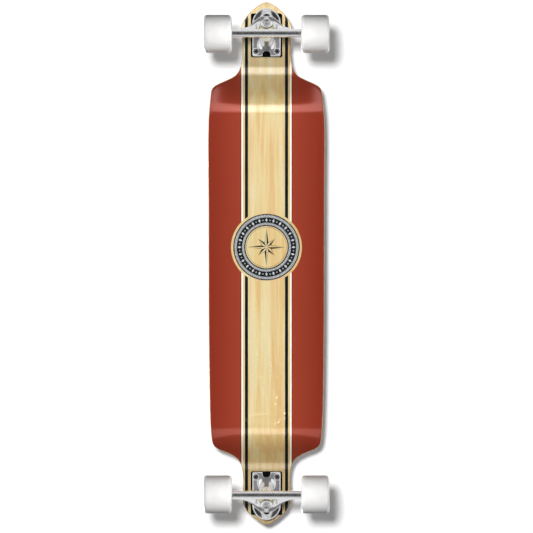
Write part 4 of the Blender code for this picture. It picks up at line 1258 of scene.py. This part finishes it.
# Share of its full reach that the wing keeps at each distance from the middle.
WING_SPREAD = ((0.0, 1.0), (0.0080, 0.985), (0.0147, 0.915), (0.0210, 0.745), (0.0270, 0.555),
               (0.0350, 0.365), (0.0430, 0.275), (0.0500, 0.200), (HANGER_WING, 0.0))
GUSSETS = (((-0.0215, 0.0225), (0.0070, 0.0192)), ((-0.0215, 0.0315), (-0.0040, 0.0262)))


def axle_in_pivot():
    """The axle's place in the pivot frame's X and Z."""
    cos, sin = math.cos(PIVOT_ANGLE), math.sin(PIVOT_ANGLE)
    return -RING_U * cos - RING_W * sin, RING_U * sin - RING_W * cos


def bar_centre():
    """The middle of the bar in the pivot frame's X and Z."""
    cos, sin = math.cos(PIVOT_ANGLE), math.sin(PIVOT_ANGLE)
    along, up = axle_in_pivot()
    return Vector((along + BAR_OFFSET * cos, up - BAR_OFFSET * sin))


def wing_share(across):
    """Share of its full reach that the wing keeps at a distance from the middle."""
    places, shares = zip(*smooth_curve(WING_SPREAD, 6))
    return float(np.interp(across, places, shares))


def hanger_section(across):
    """The hanger's outline in the pivot frame's X and Z, at a distance from the middle."""
    centre = bar_centre()
    share = wing_share(across)
    wing = smooth_curve(WING_SECTION, 3)
    points = [Vector(p) for p in arc(centre, BAR_RADIUS, WING_TO, WING_FROM + 360, 36)]
    for i, reach in enumerate(wing):
        angle = math.radians(WING_FROM + (WING_TO - WING_FROM) * (i + 1) / (len(wing) + 1))
        bar = centre + BAR_RADIUS * Vector((math.cos(angle), math.sin(angle)))
        points.append(bar.lerp(Vector(reach), share))
    return points


def hanger_mesh():
    """The casting, in the pivot frame."""
    rows = sorted(set([round(y, 5) for y in np.linspace(-HANGER_WING, HANGER_WING, 81)]
                      + [-0.0868, -0.0700, 0.0700, 0.0868]))
    loops = [[(p.x, across, p.y) for p in hanger_section(abs(across))] for across in rows]
    centre = bar_centre()
    ends = [[(centre.x + (p.x - centre.x) * 0.95, way * HANGER_HALF,
              centre.y + (p.y - centre.y) * 0.95) for p in hanger_section(HANGER_HALF)]
            for way in (-1, 1)]  # eased end faces of the bar
    bodies = [(mesh_from("wing", *loft([ends[0], *loops, ends[1]])), None)]
    # Gussets on the road-side floor, either side of the bushing seat.
    for side in (1, -1):
        for path in GUSSETS:
            path = [(x, side * y) for x, y in path]
            bodies.append((strip("gusset", path, 0.0016, -0.0098, -0.0040), None))
    bodies.append((turned("nose", (
        (RING_HOLE + 0.0020, RING_SEAT - 0.0006), (BUSHING_RADIUS + 0.0010, RING_SEAT - 0.0006),
        (BUSHING_RADIUS + 0.0012, NOSE_RADIUS), (NOSE_TIP - 0.0030, NOSE_RADIUS - 0.0002),
        (NOSE_TIP - 0.0008, NOSE_RADIUS - 0.0022), (NOSE_TIP, NOSE_RADIUS - 0.0042)), 40),
        ALONG_PIVOT))
    seat = BUSHING_RADIUS + 2 * GAP
    ring = turned("ring", ((-0.030, seat), (-RING_SEAT, seat), (-RING_SEAT, RING_HOLE),
                           (RING_SEAT, RING_HOLE), (RING_SEAT, seat), (0.020, seat)), 72)
    along, up = axle_in_pivot()
    axle_place = Matrix.Translation((along, 0, up)) @ ACROSS_TRUCK
    bore = turned("axle_bore", ((-0.100, AXLE_BORE), (0.100, AXLE_BORE)), 40)
    made = cut(cast_from("hanger", bodies, VOXEL, 2), [(ring, None), (bore, axle_place)])
    # The lip's inner slope gets a darker, rougher copy of the casting: painted shade.
    return dressed(made, (BAR_CAST, CAST_PAINTED_SHADE),
                   lambda c, n: int(c.x > -0.006 and n.x < -0.42 and n.z < -0.25), 38)


def axle_mesh():
    """The axle along Z, threaded at both ends."""
    thread = 0.0145
    end = AXLE_HALF
    tip, small = 0.0026, AXLE_RADIUS - 0.0005
    mesh = turned("axle", [
        (-end, tip), (-end + 0.0008, small),
        *threaded(-end + 0.0009, -end + thread, AXLE_RADIUS, COARSE_PITCH, 0.0005),
        (end - thread - 0.0006, AXLE_RADIUS),
        *threaded(end - thread, end - 0.0009, AXLE_RADIUS, COARSE_PITCH, 0.0005),
        (end - 0.0008, small), (end, tip)], 36)
    return dressed(mesh, (STEEL, THREAD), lambda c, n: int(end - thread < abs(c.z) < end - 0.0008))


# ------------------------------------------------------------ wheels


def bearing_places():
    """Where the inner and the outer bearing start, from the wheel's middle outwards."""
    first = HANGER_HALF + GAP + SPEED_WASHER - WHEEL_CENTRE
    return first, first + BEARING_WIDTH + SPACER


def wheel_mesh():
    """The wheel about Z, its inner face at the lowest Z."""
    rim, half = WHEEL_RADIUS, WHEEL_HALF
    first, second = bearing_places()
    bore, shoulder = BEARING_RADIUS + 0.0001, 0.0090
    tread = 0.0207
    face = 0.0285  # radius where the rounded edge meets the side face

    def lip(way):
        """The rounded edge from the tread to the side face."""
        points = []
        for i in range(13):
            angle = math.radians(12 + 78 * i / 12)
            points.append((way * (tread + (half - tread) * math.sin(angle) ** 0.9
                                  * (1 if i else 0.12)), face + (rim - face) * math.cos(angle)))
        return points

    near, far = first - GAP, second + BEARING_WIDTH + GAP
    inner_stop, outer_stop = first + BEARING_WIDTH + GAP, second - GAP
    profile = [
        (near, bore + 0.0004), (near, 0.0150), (near - 0.0010, 0.0158), (-0.0190, 0.0172),
        *shifted(-half, (0.0020, 0.0182), (0.0005, 0.0192), (0.0, 0.0206), (0.0, 0.0240)),
        *lip(-1)[::-1],
        *((height, rim) for height in (-tread, -0.012, -0.004, 0.004, 0.012, tread)), *lip(1),
        *shifted(half, (0.0, 0.0240), (0.0, 0.0206), (-0.0005, 0.0192), (-0.0020, 0.0182)),
        (far + 0.0012, 0.0160), (far, 0.0152), (far, bore + 0.0004), (far - 0.0004, bore),
        (outer_stop, bore), (outer_stop, shoulder), (inner_stop, shoulder), (inner_stop, bore),
        (near + 0.0004, bore)]
    mesh = turned("wheel", profile, 128, hollow=True, smooth=11)
    return dressed(mesh, (WHITE, TREAD), lambda c, n: int(
        math.hypot(c.x, c.y) > rim - 0.0006 and abs(c.z) < tread))


def bearing_mesh(start):
    """A sealed bearing's outer ring and its shields."""
    bore, shield, edge = RACE_RADIUS + 0.0004, 0.0094, 0.0107
    mesh = turned("bearing", [
        *shifted(start, (0.0005, bore), (0.0004, shield), (0.0, 0.0096), (0.0, edge),
                 (0.0003, BEARING_RADIUS)),
        *shifted(start + BEARING_WIDTH, (-0.0003, BEARING_RADIUS), (0.0, edge), (0.0, 0.0096),
                 (-0.0004, shield), (-0.0006, 0.0088), (-0.0005, 0.0074), (-0.0005, bore))],
        64, hollow=True)
    return dressed(mesh, (RACE, SHIELD), lambda c, n: int(
        math.hypot(c.x, c.y) < shield and abs(n.z) > 0.5))


def sleeve_mesh():
    """Speed washers, inner rings and spacer, which stay with the axle."""
    first, second = bearing_places()
    washer, ease = 0.0070, 0.0002
    small_race = RACE_RADIUS - ease
    return dressed(turned("sleeve", [
        *shifted(first - SPEED_WASHER, (0.0, AXLE_BORE), (0.0, washer - ease), (ease, washer)),
        *shifted(first - GAP, (-ease, washer), (0.0, washer - ease), (0.0, small_race)),
        (first, RACE_RADIUS), (first + BEARING_WIDTH, RACE_RADIUS),
        (first + BEARING_WIDTH, 0.0055), (second, 0.0055), (second, RACE_RADIUS),
        (second + BEARING_WIDTH, RACE_RADIUS),
        *shifted(second + BEARING_WIDTH + GAP, (0.0, small_race), (0.0, washer - ease),
                 (ease, washer)),
        *shifted(second + BEARING_WIDTH + SPEED_WASHER, (-ease, washer), (0.0, washer - ease),
                 (0.0, AXLE_BORE))], 56, hollow=True), (STEEL,))


def axle_nut_mesh():
    """The lock nut outside a wheel, with a nylon ring at its outer end."""
    _, second = bearing_places()
    stop = AXLE_HALF - WHEEL_CENTRE - 0.0006
    flats, any_cap = 0.0063, 1
    mesh = turned("axle_nut", [
        *shifted(second + BEARING_WIDTH + SPEED_WASHER + GAP, (0.0, AXLE_BORE), (0.0, 0.0060),
                 (0.0004, (flats, 0.0068)), (0.0007, (flats, any_cap))),
        *shifted(stop, (-0.0026, (flats, any_cap)), (-0.0021, (flats, 0.0067)),
                 (-0.0019, 0.0061), (-0.0006, 0.0058), (0.0, 0.0053), (0.0, 0.0048),
                 (-0.0003, 0.0046), (-0.0003, AXLE_BORE))], 60, hollow=True)
    return dressed(mesh, (STEEL, NYLON), on_nylon(1, stop - 0.0005, 0.0048))


# ------------------------------------------------------------ the trucks


def build_trucks():
    """Both trucks and the four wheels, each mesh made once and copied."""
    # Endings of the piece's and the CAD node's names, slot, mesh and place in the truck frame.
    fixed = [("base", "baseplate", "cast_aluminium", baseplate_mesh(), Matrix()),
             ("riser", "riser_pad", "riser_rubber", riser_mesh(), Matrix()),
             ("cup", "pivot_cup", "cream_urethane", pivot_cup_mesh(),
              PIVOT_IN_TRUCK @ ALONG_PIVOT)]
    fixed += [(f"{name}_fine", name, slot, mesh, PIVOT_IN_TRUCK)
              for name, slot, mesh in kingpin_pieces()]
    steered = (("hanger_casting", "hanger", "cast_aluminium", hanger_mesh(), PIVOT_IN_TRUCK),
               ("axle_rod", "axle", "plated_steel", axle_mesh(), ACROSS_TRUCK))
    # The same endings, slot and mesh, and whether the piece turns with its wheel.
    first, second = bearing_places()
    on_axle = (("tyre", "wheel", "white_urethane", wheel_mesh(), True),
               ("inner_ring", "inner_bearing", "bearing_steel", bearing_mesh(first), True),
               ("outer_ring", "outer_bearing", "bearing_steel", bearing_mesh(second), True),
               ("spacer", "sleeve", "plated_steel", sleeve_mesh(), False),
               ("lock_nut", "axle_nut", "plated_steel", axle_nut_mesh(), False))
    for end, way in ENDS:
        truck = truck_matrix(end, way)
        moving = f"{end}_hanger_assembly"
        for name, node, slot, mesh, place in fixed:
            soft = node.startswith("bushing")
            piece = add_piece(f"{end}_{name}", mesh.copy(), None if soft else ROOT, slot,
                              (f"{end}_{node}",), truck @ place)
            if soft:
                side = 1 if node.endswith("board") else -1
                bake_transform(piece)
        for name, node, slot, mesh, place in steered:
            add_piece(f"{end}_{name}", mesh.copy(), moving, slot, (f"{end}_{node}",),
                      truck @ place)
        for side_name, side in SIDES:
            wheel = f"{end}_{side_name}"
            middle = Matrix.Translation(JOINTS[f"{wheel}_wheel_spin"]["pos_m"])
            hub = middle @ Matrix.Rotation(-side * math.pi / 2, 4, "X")
            for name, node, slot, mesh, spins in on_axle:
                body = f"{wheel}_wheel_assembly" if spins else moving
                add_piece(f"{wheel}_{name}", mesh.copy(), body, slot, (f"{wheel}_{node}",), hub)


# ------------------------------------------------------------ stage, lights and camera

VIEW_SPAN = 1.0362  # width of the view at its height, in metres
VIEW_HEIGHT = 0.10
CAMERA_X = -0.0056
LENS = 1600.0
SENSOR = 36.0
DECK_FACE = 0.09  # height that the lamps are aimed at
SOFT_SUN = math.radians(11)


def build_stage():
    """A floor seen only from above, and a backdrop behind the deck seen only from below."""
    white = make_floor()
    planes = []
    for name, height, size, way in (("floor", 0.0, 12.0, 1),
                                    ("backdrop", DECK_HIGH.z + 0.030, 6.0, -1)):
        corners = [(-size, -size * way, 0), (size, -size * way, 0), (size, size * way, 0),
                   (-size, size * way, 0)]
        mesh = bpy.data.meshes.new(name)
        mesh.from_pydata(corners, [], [(0, 1, 2, 3)])
        mesh.materials.append(white)
        plane = bpy.data.objects.new(name, mesh)
        plane.location.z = height
        bpy.context.scene.collection.objects.link(plane)
        plane.visible_shadow = False
        plane.visible_diffuse = False
        plane.visible_glossy = False
        plane.visible_transmission = False
        planes.append(plane)
    return planes


def add_light(name, kind, energy, towards, distance=2.0, size=1.0, size_y=None,
              at=(0, 0, DECK_FACE), glossy=True, diffuse=True, spread=None, only=None):
    """A light that shines at a point from the direction given."""
    data = bpy.data.lights.new(name, kind)
    data.energy = energy
    if kind == "AREA":
        data.shape = "RECTANGLE"
        data.size = size
        data.size_y = size_y or size
        if spread:
            data.spread = math.radians(spread)
    else:
        data.angle = size
    light = bpy.data.objects.new(name, data)
    direction = Vector(towards).normalized()
    light.location = Vector(at) + direction * distance
    across = Vector((0, 1, 0))
    turn = Matrix((across.cross(direction).normalized(),
                   direction.cross(across.cross(direction)).normalized(), direction)).transposed()
    light.rotation_euler = turn.to_euler()
    bpy.context.scene.collection.objects.link(light)
    light.visible_camera = False
    light.visible_glossy = glossy
    light.visible_diffuse = diffuse
    if only:
        light.light_linking.receiver_collection = only
    return light


def group(name, pieces):
    """A collection of pieces for a light to shine on."""
    made = bpy.data.collections.new(name)
    for piece in pieces:
        made.objects.link(piece)
    return made


def build_lights(deck, stage, wheels, hardware):
    """Soft lamps. Sizes run along X, then along Y. Each lights only the pieces it is for."""
    aslant, below = (0.20, -0.15, -1.0), (0, 0, -1.0)
    for name, power, towards, pieces in (("stage", 3.1, aslant, stage),
                                         ("deck", 2.25, aslant, deck),
                                         ("hardware", 3.1, (0.02, -0.04, -1.0), hardware)):
        add_light(f"key_{name}", "SUN", power, towards, size=SOFT_SUN, glossy=False, only=pieces)
    for name, power, x, length, width, spread in (("platform", 0.49, -0.013, 0.66, 0.40, 4),
                                                  ("nose", 0.022, 0.492, 0.09, 0.14, 8)):
        add_light(f"{name}_beam", "AREA", power, below, 0.9, length, width, spread=spread,
                  at=(x, 0, DECK_FACE), glossy=False, only=deck)
    for end, _ in ENDS:
        axle_x = JOINTS[f"{end}_left_wheel_spin"]["pos_m"][0]
        add_light(f"{end}_wheel_strip", "AREA", 0.45, below, 0.16, 0.02, 0.30,
                  at=(axle_x, 0, 0), glossy=False, only=wheels)
    for side in (-1, 1):
        for label, power, pieces in (("wheel", 520, wheels), ("truck", 600, hardware)):
            add_light(f"{label}_side", "AREA", power, (0.0, side, -0.03), 10.0, 1.7, 6.0,
                      glossy=False, only=pieces)
    for name, power, lean in (("nose", 2500, 0.25), ("tail", 1150, -0.25)):
        add_light(f"{name}_strip", "AREA", power, (lean, 0.0, -1.0), 12.0, 3.8, 19.0,
                  diffuse=False, only=deck)
    add_light("key_above", "SUN", 1.8, (-0.12, -0.25, 1.0), size=math.radians(20))
    add_light("fill_above", "AREA", 14, (0.10, 0.25, 1.0), 2.2, 2.0, 2.0)


def build_world():
    """A soft studio surround: pale above and round about, darker straight below."""
    world = bpy.data.worlds.new("studio")
    bpy.context.scene.world = world
    world.use_nodes = True
    sky = Nodes(world.node_tree)
    sky.place = sky.coords["Generated"]
    height = sky.between(sky.axis(2), -1.0, 1.0, 0.0, 1.0)
    colour = sky.ramp(height, (0.0, 0.05), (0.05, 0.14), (0.15, 0.45), (0.30, 0.80), (0.5, 1.0),
                      (1.0, 0.8))
    background = sky.tree.nodes["Background"]
    sky.link(colour, background.inputs["Color"])
    background.inputs["Strength"].default_value = 1.0
    world.cycles_visibility.diffuse = False


def build_camera():
    """Straight below the board and far off, with the nose at the top of the view."""
    data = bpy.data.cameras.new("camera")
    data.lens = LENS
    data.sensor_width = SENSOR
    distance = LENS / SENSOR * VIEW_SPAN
    data.clip_start = 1.0
    data.clip_end = 60.0
    camera = bpy.data.objects.new("camera", data)
    forward, up = Vector((0, 0, 1)), Vector((1, 0, 0))
    turn = Matrix((forward.cross(up), up, -forward)).transposed()
    camera.matrix_world = (Matrix.Translation((CAMERA_X, 0, VIEW_HEIGHT - distance))
                           @ turn.to_4x4())
    bpy.context.scene.collection.objects.link(camera)
    bpy.context.scene.camera = camera


bpy.context.scene.view_settings.view_transform = "Standard"
build_camera()
build_world()
stage = build_stage()
deck_pieces = [*build_deck(), build_emblem()]
build_fasteners()
build_trucks()
others = [obj for obj in bpy.context.scene.objects
          if obj.type == "MESH" and obj not in stage + deck_pieces]
wheel_pieces = [obj for obj in others if obj.name.endswith("_tyre")]
truck_pieces = [obj for obj in others if obj not in wheel_pieces]
build_lights(group("deck_pieces", deck_pieces), group("stage_pieces", stage),
             group("wheel_pieces", wheel_pieces), group("truck_pieces", truck_pieces))
